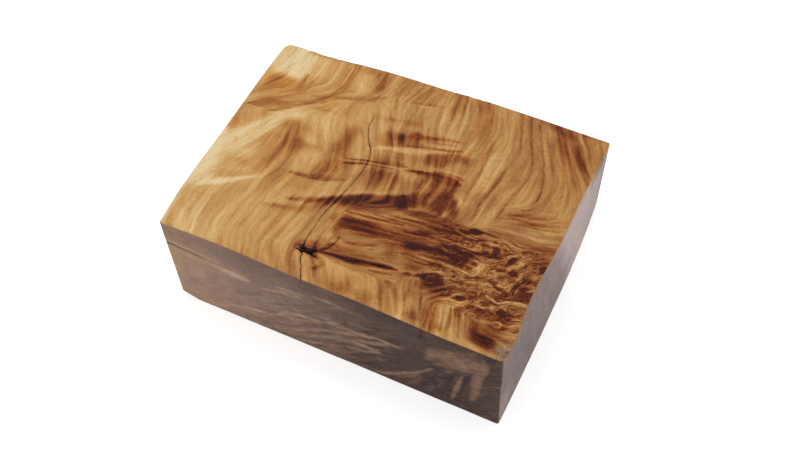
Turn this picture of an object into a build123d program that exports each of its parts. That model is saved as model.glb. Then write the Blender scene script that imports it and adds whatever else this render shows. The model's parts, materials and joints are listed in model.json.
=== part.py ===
import os

from build123d import *

# Stabilised burl wood block: one piece of resin-filled wood, in millimetres.
# The top and bottom are planed flat and parallel. The four sides were sawn by eye, so each one
# leans and bows a little, and the long back side keeps some of the wavy edge of the log.
# X runs along the block from left to right, Y from front to back, Z upwards.
# The origin is on the flat bottom, under the middle of the block.

# Outer box that the block just fits
length = 142.8
width = 113.1
height = 43.0

# Corners of the top face: how far each lies inside the outer box, along X and along Y
top_front_left = (1.4, 5.7)
top_front_right = (1.5, 1.6)
top_back_right = (0.0, 4.9)
top_back_left = (0.8, 5.4)

# Corners of the bottom face, measured in the same way
bottom_front_left = (4.4, 3.0)
bottom_front_right = (1.2, 0.0)
bottom_back_right = (2.8, 0.0)
bottom_back_left = (3.6, 2.9)

# Bow of each side off the straight line between its corners, as pairs:
# share of the way along the side, and distance outwards
front_top_bow = [(0.24, -0.7), (0.42, -0.2), (0.57, -0.5), (0.80, 0.1)]
right_top_bow = [(0.06, 0.7), (0.23, -0.7), (0.45, -0.2), (0.70, -0.3), (0.88, 0.0)]
back_top_bow = [(0.11, 0.6), (0.21, 1.2), (0.41, 2.0), (0.56, 2.5), (0.68, 2.6), (0.79, 1.6), (0.90, 0.4)]
left_top_bow = [(0.08, 0.4), (0.50, 0.8), (0.92, 0.7)]
front_bottom_bow = [(0.70, -0.1)]
right_bottom_bow = [(0.19, 0.7), (0.50, 1.4), (0.83, 1.1)]
back_bottom_bow = [(0.50, 0.8)]
left_bottom_bow = [(0.50, 0.3)]

# Rounding of the upright edges, and of the edge all round the top
back_left_round = 3.0
front_right_round = 0.8
other_upright_round = 0.5
top_round = 0.35

# Wane: the natural edge left along the back of the top face, as pairs:
# share of the way along the back from the right, and width taken off the top face
wane_widths = [(0.34, -0.2), (0.44, 0.7), (0.58, 1.1), (0.72, 1.4), (0.86, 1.0), (0.95, -0.1)]
wane_slope = 0.6
# Wane at the front left corner of the bottom: its reach along each of the three edges
corner_wane_up = 2.6
corner_wane_along_front = 8.5
corner_wane_along_left = 3.6

# Knot pit: a hole left by bark, with its middle measured from the left and the front of the box
pit_from_left = 58.2
pit_from_front = 16.2
pit_depth = 2.4
pit_floor_share = 0.55
# Rim of the pit, round its middle, anticlockwise from the right
pit_rim = [
    (3.3, 0.3),
    (4.6, 1.8),
    (2.6, 1.5),
    (0.6, 1.3),
    (-1.3, 1.6),
    (-2.4, 3.9),
    (-2.6, 1.9),
    (-4.1, 1.3),
    (-2.9, 0.5),
    (-4.0, -0.8),
    (-2.4, -1.0),
    (-1.2, -1.9),
    (-0.4, -1.1),
    (1.8, -1.3),
    (5.6, -1.6),
    (3.4, -0.6),
]

# Cracks in the top face: depth, width of the widest stretch, then points measured from the
# middle of the pit, each with its share of that width
main_crack_depth = 1.6
main_crack_width = 0.45
main_crack = [
    (-1.9, 0.6, 0.8),
    (-2.3, 5.5, 0.7),
    (-2.1, 12.1, 0.6),
    (-1.7, 18.6, 1.0),
    (-0.6, 23.2, 0.8),
    (0.8, 29.8, 0.7),
    (2.1, 36.5, 0.7),
    (2.5, 43.2, 0.8),
    (2.1, 48.7, 0.7),
    (0.9, 52.1, 0.9),
    (-1.3, 55.4, 1.0),
    (-3.4, 58.7, 0.8),
    (-5.1, 63.2, 0.7),
    (-5.6, 67.5, 0.5),
    (-6.4, 70.9, 0.0),
]
front_crack_depth = 2.0
front_crack_width = 0.5
front_crack = [
    (-1.0, -0.5, 0.6),
    (-0.3, -3.7, 1.0),
    (1.0, -5.9, 0.8),
    (2.1, -7.9, 0.7),
    (3.1, -9.9, 0.8),
]
hook_crack_depth = 0.9
hook_crack_width = 0.5
hook_crack = [
    (3.2, 1.0, 0.7),
    (6.2, 3.4, 1.0),
    (6.7, 5.0, 0.6),
    (7.4, 7.0, 0.5),
    (8.1, 9.0, 0.0),
]
bark_seam_depth = 0.9
bark_seam_width = 1.3
bark_seam = [
    (2.2, 0.3, 0.3),
    (8.0, 1.7, 0.2),
    (14.0, 2.1, 0.3),
    (16.8, 2.4, 0.9),
    (19.5, 3.3, 0.5),
    (22.5, 3.9, 1.0),
    (25.5, 4.2, 0.5),
    (28.5, 4.7, 0.7),
    (31.5, 5.2, 0.6),
    (34.5, 5.3, 0.0),
]
# Each crack narrows to this share of its width at its floor, and its ends are closed to a hairline
crack_floor_share = 0.25
hairline = 0.02

# Shake in the front side: a thin open layer that starts at the left end and closes as it drops
shake_below_top = 10.6
shake_gap = 0.5
shake_length = 29.0
shake_drop = 2.5
shake_depth = 0.9

# Chip knocked out of the top edge of the right side, at this share of the way to the back
chip_along_side = 0.03
chip_length = 2.6
chip_width = 1.5
chip_depth = 1.4
chip_floor_share = 0.4

# How far cutting shapes stand clear of the surface that they cut
clear = 1.0
# An edge counts as upright when the upward part of its direction is more than this
upright_least = 0.9


def on_plan(from_left, from_front):
    return Vector(from_left - length / 2, from_front - width / 2)


def corners(front_left, front_right, back_right, back_left):
    return [
        on_plan(front_left[0], front_left[1]),
        on_plan(length - front_right[0], front_right[1]),
        on_plan(length - back_right[0], width - back_right[1]),
        on_plan(back_left[0], width - back_left[1]),
    ]


def side(start, end, bows):
    # A side between two corners, taken anticlockwise, so that outwards lies to its right
    along = end - start
    outwards = Vector(along.Y, -along.X).normalized()
    bowed = [start + along * share + outwards * bow for share, bow in bows]
    return Spline(start, *bowed, end)


def outline(ends, bows):
    return [side(ends[k], ends[(k + 1) % 4], bows[k]) for k in range(4)]


def sawn_body():
    top_ends = corners(top_front_left, top_front_right, top_back_right, top_back_left)
    bottom_ends = corners(bottom_front_left, bottom_front_right, bottom_back_right, bottom_back_left)
    top_sides = outline(top_ends, [front_top_bow, right_top_bow, back_top_bow, left_top_bow])
    bottom_bows = [front_bottom_bow, right_bottom_bow, back_bottom_bow, left_bottom_bow]
    bottom_sides = outline(bottom_ends, bottom_bows)
    top = Pos(0, 0, height) * make_face(top_sides)
    bottom = make_face(bottom_sides)
    return loft([bottom, top], ruled=True), top_ends, bottom_ends, top_sides


def top_end(edge):
    return max([edge @ 0, edge @ 1], key=lambda p: p.Z)


def upright_edge(body, corner):
    # The upright edge that meets the top face nearest to this corner
    uprights = [e for e in body.edges() if abs((e % 0.5).Z) > upright_least]
    return min(uprights, key=lambda e: (Vector(corner.X, corner.Y, height) - top_end(e)).length)


def top_edges(body):
    top = body.faces().sort_by(Axis.Z)[-1]
    return top.edges()


def rounded(body, top_ends):
    rounds = [other_upright_round, front_right_round, other_upright_round, back_left_round]
    for corner, radius in zip(top_ends, rounds):
        body = fillet(upright_edge(body, corner), radius)
    return fillet(top_edges(body), top_round)


def inwards_at(side_edge, share):
    # A point on a side of the top outline, and the level direction into the block there
    along = side_edge % share
    return side_edge @ share, Vector(-along.Y, along.X).normalized()


def wane_cut(back_side):
    sections = []
    for share, taken in wane_widths:
        edge_point, inwards = inwards_at(back_side, share)
        inner = edge_point + inwards * (taken + clear) + Vector(0, 0, height + clear * wane_slope)
        outer = edge_point - inwards * clear + Vector(0, 0, height - (taken + clear) * wane_slope)
        over = edge_point - inwards * clear + Vector(0, 0, height + clear * wane_slope)
        sections.append(make_face(Polyline(inner, outer, over, close=True)))
    return loft(sections, ruled=True)


def corner_wane_plane(top_ends, bottom_ends):
    corner = bottom_ends[0]
    top_corner = Vector(top_ends[0].X, top_ends[0].Y, height)
    up = corner + (top_corner - corner).normalized() * corner_wane_up
    front = corner + (bottom_ends[1] - corner).normalized() * corner_wane_along_front
    left = corner + (bottom_ends[3] - corner).normalized() * corner_wane_along_left
    return Plane(origin=up, x_dir=front - up, z_dir=(front - up).cross(left - up))


def shake_cut():
    # The front side at the height of the shake, at its left end
    height_share = 1 - shake_below_top / height
    inset = bottom_front_left[1] + (top_front_left[1] - bottom_front_left[1]) * height_share
    level = height - shake_below_top
    fall = shake_drop / shake_length
    left = Vector(-length / 2 - clear, 0, level + clear * fall)
    right = Vector(shake_length - length / 2, 0, level - shake_drop)
    mouth = make_face(Polyline(left, left - Vector(0, 0, shake_gap), right, close=True))
    outside = -width / 2 - clear
    reach = clear + inset + shake_depth
    return extrude(Pos(0, outside, 0) * mouth, amount=reach, dir=(0, 1, 0))


def chip_cut(right_side):
    edge_point, inwards = inwards_at(right_side, chip_along_side)
    along = Vector(inwards.Y, -inwards.X)

    def level(share, z):
        outside = edge_point - inwards * clear
        half = along * chip_length * share / 2
        tip = edge_point + inwards * chip_width * share
        return Pos(0, 0, z) * make_face(Polyline(outside - half, outside + half, tip, close=True))

    rise = 1 + (1 - chip_floor_share) * clear / chip_depth
    return loft([level(chip_floor_share, height - chip_depth), level(rise, height + clear)], ruled=True)


def cleft(points, widest, depth):
    # A cutting shape for a crack: a thin outline at the surface, narrowing to its floor
    centres = [Vector(x, y) for x, y, share in points]
    widths = [widest * share for x, y, share in points]
    normals = []
    for k in range(len(centres)):
        before = centres[max(k - 1, 0)]
        after = centres[min(k + 1, len(centres) - 1)]
        along = (after - before).normalized()
        normals.append(Vector(-along.Y, along.X))

    def level(share, z):
        halves = [max(w * share, hairline) / 2 for w in widths]
        one = [c + n * h for c, n, h in zip(centres, normals, halves)]
        other = [c - n * h for c, n, h in zip(centres, normals, halves)]
        return Pos(0, 0, z) * make_face(Polyline(*one, *reversed(other), close=True))

    rise = 1 + (1 - crack_floor_share) * clear / depth
    return loft([level(crack_floor_share, height - depth), level(rise, height + clear)], ruled=True)


def pit(middle):
    floor = Polygon(*[(x * pit_floor_share, y * pit_floor_share) for x, y in pit_rim], align=None)
    rise = 1 + (1 - pit_floor_share) * clear / pit_depth
    mouth = Polygon(*[(x * rise, y * rise) for x, y in pit_rim], align=None)
    low = Pos(middle.X, middle.Y, height - pit_depth) * floor
    high = Pos(middle.X, middle.Y, height + clear) * mouth
    return loft([low, high], ruled=True)


def top_cracks(middle):
    # The front crack runs on in its own direction, out through the front side
    x, y, share = front_crack[-1]
    way = Vector(x - front_crack[-2][0], y - front_crack[-2][1]).normalized()
    run_on = (middle.Y + y + width / 2 + clear) / -way.Y
    through_front = front_crack + [(x + way.X * run_on, y + way.Y * run_on, share)]
    runs = [
        (main_crack, main_crack_width, main_crack_depth),
        (through_front, front_crack_width, front_crack_depth),
        (hook_crack, hook_crack_width, hook_crack_depth),
        (bark_seam, bark_seam_width, bark_seam_depth),
    ]
    return [Pos(middle.X, middle.Y) * cleft(*run) for run in runs]


block, top_ends, bottom_ends, top_sides = sawn_body()
block = rounded(block, top_ends)
block = split(block, bisect_by=corner_wane_plane(top_ends, bottom_ends), keep=Keep.TOP)
block -= wane_cut(top_sides[2])
block -= chip_cut(top_sides[1])
block -= shake_cut()
middle = on_plan(pit_from_left, pit_from_front)
block -= pit(middle)
for crack in top_cracks(middle):
    block -= crack

os.makedirs("parts", exist_ok=True)
export_step(block, "parts/burl_block.step")
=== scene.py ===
import json
import math

import bpy
import numpy as np
from mathutils import Matrix, Vector

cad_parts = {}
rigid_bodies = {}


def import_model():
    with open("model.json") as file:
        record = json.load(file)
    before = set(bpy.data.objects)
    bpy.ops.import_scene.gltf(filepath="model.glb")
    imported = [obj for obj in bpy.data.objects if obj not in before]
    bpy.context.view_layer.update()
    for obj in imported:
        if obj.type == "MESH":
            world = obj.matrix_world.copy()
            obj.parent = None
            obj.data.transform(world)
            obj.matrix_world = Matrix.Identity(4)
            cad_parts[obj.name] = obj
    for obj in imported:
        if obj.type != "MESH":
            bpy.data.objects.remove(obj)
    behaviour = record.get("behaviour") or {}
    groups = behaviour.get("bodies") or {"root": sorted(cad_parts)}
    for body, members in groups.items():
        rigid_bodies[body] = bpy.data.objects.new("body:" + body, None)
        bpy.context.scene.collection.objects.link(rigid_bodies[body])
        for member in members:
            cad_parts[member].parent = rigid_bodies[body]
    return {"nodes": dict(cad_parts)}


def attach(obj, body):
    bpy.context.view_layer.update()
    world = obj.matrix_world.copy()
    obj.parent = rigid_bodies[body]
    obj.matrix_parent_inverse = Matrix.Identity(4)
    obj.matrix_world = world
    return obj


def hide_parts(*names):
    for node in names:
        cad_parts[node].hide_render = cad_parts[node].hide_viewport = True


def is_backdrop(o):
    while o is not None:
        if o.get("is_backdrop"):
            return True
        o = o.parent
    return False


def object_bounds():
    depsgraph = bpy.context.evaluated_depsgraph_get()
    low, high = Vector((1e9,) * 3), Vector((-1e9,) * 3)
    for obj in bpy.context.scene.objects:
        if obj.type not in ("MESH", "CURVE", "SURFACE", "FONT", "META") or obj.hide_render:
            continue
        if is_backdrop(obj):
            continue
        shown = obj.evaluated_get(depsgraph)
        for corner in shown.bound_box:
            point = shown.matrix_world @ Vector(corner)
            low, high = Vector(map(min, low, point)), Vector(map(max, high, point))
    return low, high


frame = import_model()
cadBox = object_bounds()
print("frame loaded:", sorted(frame["nodes"]))

# Stabilised burl wood block. Shapes are worked out in mm from the left, the front and the
# underside of the block's box, then turned to metres in the part's own frame.

block = {
    "length": 142.8, "width": 113.1, "height": 43.0,
    "topEdgeRound": .35, "bottomEdgeRound": .3,
    "cellsAlong": 262, "cellsAcross": 202, "levels": 45,  # mesh cells, half a mm on the top
    "sidePoints": 241, "arcPoints": 13,  # points worked out along each side and round each corner
    "sawWave": .09, "wornCorner": .22,  # how far the sawn sides and the worn corners dip in
}
cornerInsets = {  # how far each corner lies inside the box, from front left anticlockwise
    "top": [(1.4, 5.7), (1.5, 1.6), (0, 4.9), (.8, 5.4)],
    "bottom": [(4.4, 3.0), (1.2, 0), (2.8, 0), (3.6, 2.9)],
}
sideBows = {  # share of the way along the side, and distance outwards: front, right, back, left
    "top": [
        [(.24, -.7), (.42, -.2), (.57, -.5), (.80, .1)],
        [(.06, .7), (.23, -.7), (.45, -.2), (.70, -.3), (.88, 0)],
        [(.11, .6), (.21, 1.2), (.41, 2.0), (.56, 2.5), (.68, 2.6), (.79, 1.6), (.90, .4)],
        [(.08, .4), (.50, .8), (.92, .7)],
    ],
    "bottom": [
        [(.70, -.1)],
        [(.19, .7), (.50, 1.4), (.83, 1.1)],
        [(.50, .8)],
        [(.50, .3)],
    ],
}
uprightRounds = [.5, .8, .5, 3.0]  # front left, front right, back right, back left
wane = {  # natural edge at the back of the top, from the right; it fades out over a few mesh levels
    "shares": [.34, .44, .58, .72, .86, .95], "widths": [-.2, .7, 1.1, 1.4, 1.0, -.1],
    "slope": .6, "firstLevel": 4, "fadeLevels": 6, "rough": ((.22, 2.2, 3, 71), (.12, .8, 9, 72)),
}
knotPit = {
    "middle": (58.2, 16.2), "depth": 2.4, "floorShare": .55, "rings": 7, "points": 96,
    "rim": [(3.3, .3), (4.6, 1.8), (2.6, 1.5), (.6, 1.3), (-1.3, 1.6), (-2.4, 3.9), (-2.6, 1.9),
            (-4.1, 1.3), (-2.9, .5), (-4.0, -.8), (-2.4, -1.0), (-1.2, -1.9), (-.4, -1.1),
            (1.8, -1.3), (5.6, -1.6), (3.4, -.6)],
    "wallRough": .12, "floorGrit": .45,
}
# depth, greatest width, then points from the pit's middle with their share of that width
cracks = {
    "mainCrack": (1.6, .28, [
        (-1.9, .6, .8), (-2.3, 5.5, .7), (-2.1, 12.1, .6), (-1.7, 18.6, 1.0), (-.6, 23.2, .8),
        (.8, 29.8, .7), (2.1, 36.5, .7), (2.5, 43.2, .8), (2.1, 48.7, .7), (.9, 52.1, .9),
        (-1.3, 55.4, 1.0), (-3.4, 58.7, .8), (-5.1, 63.2, .7), (-5.6, 67.5, .5),
        (-6.4, 70.9, 0)]),
    "frontCrack": (2.0, .30, [
        (-1.0, -.5, .6), (-.3, -3.7, 1.0), (1.0, -5.9, .8), (2.1, -7.9, .7), (3.1, -9.9, .8),
        (6.1, -15.9, .8)]),
    "hookCrack": (.9, .31, [
        (3.2, 1.0, .7), (6.2, 3.4, 1.0), (7.2, 5.0, .8), (8.0, 7.0, .6), (8.4, 9.0, .5),
        (8.1, 11.4, 0)]),
    "barkSeam": (.9, .85, [
        (2.2, .3, .3), (8.0, 1.7, .2), (14.0, 2.1, .3), (16.8, 2.4, .9), (19.5, 3.3, .5),
        (22.5, 3.9, 1.0), (25.5, 4.2, .5), (28.5, 4.7, .7), (31.5, 5.2, .6), (34.5, 5.3, 0)]),
}
crackRough = {"stray": .13, "widthWave": .35, "depthWave": .18, "floorShare": .3, "firstSeed": 100}
# thin open layer of the front side
shake = {"belowTop": 10.6, "gap": .45, "length": 29.0, "drop": 2.5, "depth": .9, "points": 40}
# bark edge at the front left of the underside
cornerWane = {"up": 2.6, "alongFront": 8.5, "alongLeft": 3.6}
chip = {"middle": (142.0, 5.2, 43.15), "size": (1.45, 1.35, 1.35), "bumps": .16}
# worn corners of the top: place, reach along and across, share of the full dip
wornCorners = [(140.3, 6, 2.4, 4.2, 1), (139, 103.5, 4, 5, .6)]

# The figure, placed in mm from the left and the front of the block's box.
# soft patches: x, y, half length, half width, tone, warmth, and where they aren't the usual ones
# also cover, hardness and turn
usualPatch = (.8, 1.5, 0)  # cover, hardness, turn in degrees
woodPatches = [
    # left half, from the back edge to the front
    (9, 99.4, 11, 10.6, .78, -.2, 1, 3), (5, 90, 4.4, 2.6, .72, .1, .8, 1.6),
    (9.5, 102, 7, 6, .79, -.3, .6), (21, 101, 4, 8, .70, .2, .9, 2),
    (27.5, 98, 4.2, 9, .60, .1, .9, 2), (33.5, 98, 3, 10, .55, .4, .8, 2),
    (41, 99, 4, 4.5, .63, 0, .9, 2), (42, 107, 9, 2.2, .52, .4, .8, 2, 8),
    (48.3, 102.5, 2.2, 6, .45, .5, .8, 2), (22, 91, 4, 4.5, .58, .1, .8, 2, 10),
    (8, 86.5, 11, 4.6, .53, .7, 1, 2.5, 3), (1.5, 84, 2.5, 5, .62, 1, .7),
    (26, 88.5, 5, 3.5, .62, 0, .7, 1.5, 20), (24, 83, 7, 2.2, .59, 0, .7, 1.5, 30),
    (32, 84.5, 5, 3.5, .55, .5, .7), (42, 84, 5, 5, .58, .3, .7),
    (10, 80, 11, 3.5, .52, .3, .9, 1.5, 18), (11, 75.6, 9, 3, .46, .3, 1, 2, 12),
    (17, 79.6, 3.4, 1.2, .58, .2, .7, 1.5, 30), (33.6, 78.6, 2.8, 3.6, .55, .3, .75),
    (54, 88, 4, 6, .56, .1, .7), (29, 72.6, 3, 3, .70, 0, .7), (49, 78.6, 5, 2.4, .69, .1, .7),
    (2, 76.5, 2, 4.5, .60, -.6, .7, 2), (27, 76.5, 6, 3.3, .65, -.3, .9, 2),
    (40, 77, 5, 4, .65, .3, .9, 2), (6, 66, 8, 7.5, .57, .1, 1, 2.5),
    (11.5, 68, 2.5, 5, .53, 0, .6, 1.5, 20), (1.6, 61.5, 1.8, 2.6, .46, 1),
    (2, 58, 1.5, 1.5, .52, .6, .7), (5, 60, 4, 3, .60, .6, .5), (35, 71, 9, 7, .67, .1, 1, 1.6),
    (24, 73, 6, 3, .67, 0, .8, 1.5, 20), (37, 67, 3, 1.6, .60, 0, .6),
    (24, 68.5, 4.5, 3.6, .49, .4, .9, 1.6), (29, 61, 6, 8, .40, .3, .95, 1.5, 10),
    (29.5, 62, 3, 5, .34, .3, .8, 1.5, 5), (24, 51, 6, 8, .47, .3, .95, 1.6, 5),
    (19, 58, 3.5, 4, .53, .4, .7), (35, 60.7, 4, 1.4, .49, .3, .7, 1.5, 8),
    (37, 54, 4.5, 6, .62, 0, .9, 1.6), (39, 57, 4.4, 3, .66, 0, .9, 1.6),
    (53, 52.6, 4, 1.6, .42, .4, .8, 1.5, 8), (35, 65.5, 5, 2.8, .66, .1, .85),
    (49, 79, 4, 3.4, .66, .1), (37, 43, 8, 3.5, .53, .4, .7), (31, 48, 3, 5, .55, 0, .6),
    (47.8, 74, 2.8, 4, .45, .5, .8, 1.5, -20), (48.5, 66, 4, 7, .42, .5, .95, 1.8),
    (49.5, 55, 5.5, 6, .41, .6, .95, 1.8), (44.6, 52, 2, 5, .49, .3, .7),
    (45, 59.6, 2, 3, .55, .2, .7), (58.6, 58.4, 1.3, 1.6, .61, .1), (53.5, 90, 6, 4, .63, 0, .7),
    # the pale patches at (3.5, 43) and (3, 35) on the left edge are partly pale wood and partly
    # painted sheen
    (49, 82, 5, 6, .62, .1), (3.5, 43, 5, 4, .74, -.2, .7), (3, 35, 5, 8, .80, -.1, .85, 1.8),
    (14, 51, 5, 6, .70, 0, .7), (29, 27, 4, 8, .67, 0, .6), (20, 44, 6, 2, .52, .3, .7, 1.5, 6),
    (12, 24.4, 3, 4, .60, .1, .6, 1.5, 25), (15, 37, 7, 2, .56, .2, .75, 1.5, 14),
    (12, 11, 13, 5, .68, 0, .7), (48, 20, 9, 8, .61, .1, .5), (19, 19, 11, 9, .66, 0, .6),
    (38, 6, 12, 2, .55, .5, .5),
    # middle, from the back edge to the front
    (62, 104, 12, 6, .51, .2, .8, 1.6), (72, 96, 8, 5, .58, 0), (58, 94, 8, 4, .60, 0, .7),
    (82, 103, 2.6, 7, .47, .5, .8, 1.8), (90.5, 106, 3.5, 5, .42, .5, .9, 1.6, 20),
    (87, 98, 3.5, 6, .57, -.4, .7), (94, 97, 4, 7, .48, .5, .8, 1.6),
    (84, 91, 7, 5, .57, -.2, .7), (68.3, 87.6, 3.2, 1.5, .46, .7, .8, 1.5, 8),
    (59, 85.5, 5, 1.6, .53, .3, .7, 1.5, 6), (72.3, 82, 3, 2, .34, 1, 1, 1.6, 10),
    (64, 77.4, 4.8, 3.4, .34, .4, .95, 2, 6), (67.6, 78.4, 2, 2.6, .28, .4, .9, 1.8),
    (73, 78.3, 4, 2, .40, .3, .8, 1.5, 8), (91, 77.3, 6, 3, .33, .4, 1, 2, 8),
    (86.4, 74.2, 4.8, 3.8, .33, .4, .95, 1.8, 8), (89.6, 70.4, 1.6, 1.6, .52, .1),
    (57.6, 71.6, 3, 1.8, .50, .2), (63, 73.4, 3.4, 1.2, .40, .4, .8, 1.5, 8),
    (66.8, 73.4, 1.6, 3, .40, .4, .7), (93.6, 73, 3.4, 3.2, .48, 0),
    (81.4, 72.6, 1.6, 3.4, .35, .4, .85, 1.6), (56.4, 66.4, 2, 3.4, .70, .1, .9, 1.6),
    (93.5, 80.8, 3.2, 1.3, .60, 1, .7, 1.5, 6), (54.5, 69, 4, 7, .68, 0, .9, 1.6),
    (57.5, 70, 2.6, 3.4, .56, .2, .6), (64.5, 68.5, 4, 4, .50, .3, .8, 1.6),
    (71, 69.5, 3.2, 4.5, .44, .3, .8, 1.6), (77, 70, 2.8, 3, .52, .5, .7),
    (80.5, 69, 2.2, 1.6, .61, 0, .6, 1.5, 10), (69, 58.3, 5.4, 4, .33, .2, .95, 2.4, 10),
    (63.6, 57.4, 2.4, 3.4, .38, .3, .8, 1.6), (74.4, 57.6, 1.6, 4.4, .37, .3, .8, 1.6),
    (59, 55, 5, 6, .54, -.1), (58.6, 58.2, 2.4, 2.4, .64, .1, .8, 1.6),
    (71.8, 57.6, 1.3, 5, .33, .4, .7), (78, 54.6, 3.6, 1.2, .60, .2, .85, 1.6, 26),
    (42, 24, 5, 6, .56, .2, .7), (41, 20, 1.4, 5, .53, .2, .6, 1.4),
    (54.6, 42.4, 2, 1, .60, 0, .7, 1.5, 30), (38, 34, 3.4, 6, .67, 0, .7),
    (40, 56.6, 3, 2.6, .68, .1), (35.6, 64, 3, 2, .70, .1), (80, 57, 5, 4, .50, .1, .7),
    (92, 61.5, 5, 5, .37, .5, .9, 1.7), (86, 64, 3.5, 2.6, .43, .3),
    (78.5, 62.7, 4, 1.6, .62, 0, .9, 1.8, 8), (54, 47, 6, 5, .58, -.1),
    (76.6, 43, 5, 1.8, .50, -.1, .8, 1.5, 8), (72.6, 44, 2.4, 2.4, .40, .1),
    (86, 47.5, 6, 2.4, .51, .1, .8, 1.5, 18), (101, 53, 2.6, 3.4, .34, .4, .9, 1.7),
    (94, 57, 3, 4.5, .31, .4, .9, 1.7), (100.2, 58.7, 2.8, 3.6, .66, .1, .95, 1.8),
    (64, 56, 3.6, 5, .40, .3, .8, 1.6), (70, 54, 4, 3, .42, .3, .7),
    (66, 65.4, 5, 2.6, .41, .3, .75), (86, 60, 3.4, 4.5, .40, .3), (91, 64, 3.4, 3, .33, .4),
    (71, 56, 1.4, 5, .36, .3, .7), (64, 57, 1.5, 4, .36, .3, .6),
    (64.5, 75.4, 5.5, 1.5, .40, .4, .85, 1.5, 4), (83, 85, 4, 1.2, .43, .5, .7, 1.5, 6),
    (93, 47.8, 6, 1.8, .36, .3, .8, 1.5, 6), (98, 48.6, 4.4, 1.4, .32, .3, .85, 1.5, 6),
    (78.6, 46.6, 4, 1.2, .36, .3, .8, 1.5, 16), (64, 40.8, 4.5, 2, .30, .4, .8, 1.5, 10),
    # right half, above the burl
    (104.5, 92, 5, 9, .61, 0, .8, 1.6), (106, 80, 3.8, 7, .66, -.1, .9, 1.8),
    (101.4, 74, 1.6, 9, .51, .3, .8, 1.8), (106, 70, 3.2, 6, .65, 0, .8, 1.8),
    (115.6, 84, 1.8, 7, .60, 0, .8, 1.6, 4), (130.4, 76, 2.6, 9, .57, 0, .8, 1.6),
    (118.4, 71, 1.4, 7, .46, .3, .8, 1.6, 4), (110.5, 70, 1.8, 8, .51, .3, .8, 1.7),
    (114.8, 70, 3, 8, .59, 0, .7, 1.6), (122.5, 71, 3.6, 6, .57, 0, .7, 1.6),
    (134, 72, 6, 7, .49, .1, .8, 1.7), (129, 63, 9, 2.2, .43, .5, .8, 1.6, 8),
    (135, 55.4, 7, 2.6, .58, -.3, .9, 1.8, 2), (105, 56, 2.2, 6, .57, -.1, .8, 1.7),
    (108, 63.6, 3.4, 3, .48, .1, .7, 1.6), (114.6, 63.6, 3.4, 3, .50, .1, .7, 1.6),
    (100, 64, 2.6, 3, .52, .2, .7, 1.6), (113, 54.5, 3, 4, .59, 0, .8, 1.7),
    (119.6, 107.4, 5, 2, .36, .3, .85, 1.6, -4), (127, 106, 4.6, 2.8, .33, .3, .9, 1.7, -8),
    (115.6, 105, 1.6, 2.6, .44, .3, .8, 1.6, 24), (128, 98, 4, 8, .46, .3, .8, 1.6, 28),
    (135.4, 94, 2.6, 6, .43, .5, .9, 1.8, 36), (134, 100.6, 1.8, 3, .44, .4, .8, 1.7, 24),
    (133.6, 87, 2.4, 5, .47, .4, .7, 1.6, 28), (138.6, 101.4, 4, 5.6, .48, .2, .9, 1.8, 24),
    (139, 91, 3.6, 9, .43, .2, .7, 1.5, 20), (124, 92, 2.2, 6, .47, .1, .5, 1.5, 22),
    (133, 50.6, 8, 1.4, .38, .2, .8, 1.6), (118, 104, 3, 4, .56, -.2, .6),
    (138, 50.5, 4.5, 1.6, .34, .2, .9, 2), (124, 48.3, 4, 1.8, .52, .2, .8, 1.6),
    # the burl and the strip in front of it
    (80, 33, 12, 5.5, .36, .5, .9, 2, 6), (71.5, 33.8, 9.4, 3.5, .25, .5, .95, 2.8, 3),
    (102, 40.5, 15, 7.5, .34, .3, .9, 2, 4), (64.3, 29.6, 1.8, 3, .30, .5, .85, 1.6),
    (61.6, 33.4, 1.6, 2.2, .45, .6, .8, 1.6), (65.4, 36.6, 2.4, 1.6, .27, .6, .9, 1.8),
    (86, 35, 6, 2.6, .30, .4, .85, 1.6, 6), (68.6, 42.4, 3.4, 1.8, .36, .3, .8, 1.5, 8),
    (100, 36.8, 2, 1.5, .52, .9, .9, 1.7), (120, 30, 17, 15, .39, .1, .95, 2.2),
    (133, 31, 9, 15, .40, 0, .9, 2.2), (134, 28, 1.9, 4.6, .53, 0, .8, 1.6, -6),
    (132.6, 40, 1.7, 6.5, .54, .1, .85, 1.6, 6), (136.5, 40.5, 3, 3, .50, .1, .8, 1.6),
    (138.5, 25, 4, 3, .47, 0, .8, 1.6, 10), (110.5, 24.5, 3.4, 2.8, .50, -.1, .9, 1.7),
    (116, 22.6, 3.4, 1.7, .46, 0, .8, 1.5, 20), (112, 28, 7, 1.7, .49, -.1, .8, 1.5, 4),
    (112, 32.7, 8.4, 2.6, .24, .3, .95, 2), (107, 37, 10, 2.4, .24, .3, .9, 1.8),
    (97, 33.4, 8.4, 2.1, .21, .2, .95, 1.9, 3), (119.9, 33.4, 1.1, 2.4, .50, .1, .85, 1.8),
    (134.8, 35.4, 1.8, 3.4, .55, 0, .9, 1.8, -14), (127, 31.6, 1.4, 1.3, .48, 0),
    (107, 31.6, 3, .7, .42, .2, .8, 1.6, 2), (116, 44.6, 3.2, 2, .31, .3, .85),
    (110, 41.6, 9, 1, .27, .3, .85, 1.5, 4), (126, 44.6, 2.2, 1.4, .33, .3),
    (121.4, 30.6, 1.7, 3, .32, .3), (127, 37.8, 3.4, 2.8, .30, .3, .85, 1.6),
    (128, 19, 6.4, 2.6, .25, .2, .95, 1.7, 4), (136, 17.6, 3.4, 2, .27, .2, .85, 1.6, 20),
    (112, 16.4, 3.4, 2, .34, .4, .8, 1.6, 20), (120.5, 16, 2.4, 2.4, .32, .3, .8, 1.6, 10),
    (117, 17.4, 3, 1, .26, .3, .8, 1.6, 20), (127, 12.4, 3, 1.6, .52, 0, .8, 1.6),
    (119, 19.8, 5, 2.2, .27, .2, .9, 1.7, 20), (106, 20, 7, 2.4, .32, .2, .8, 1.5, 4),
    (133.8, 13.2, 3.4, 3.6, .29, .3, .9, 1.6), (138, 33, 3, 3.6, .32, .2, .7, 1.6),
    (138, 46, 4, 3, .36, .2, .7, 1.6), (86, 25.5, 7, 4.5, .43, -.2, .9, 1.8),
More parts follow.
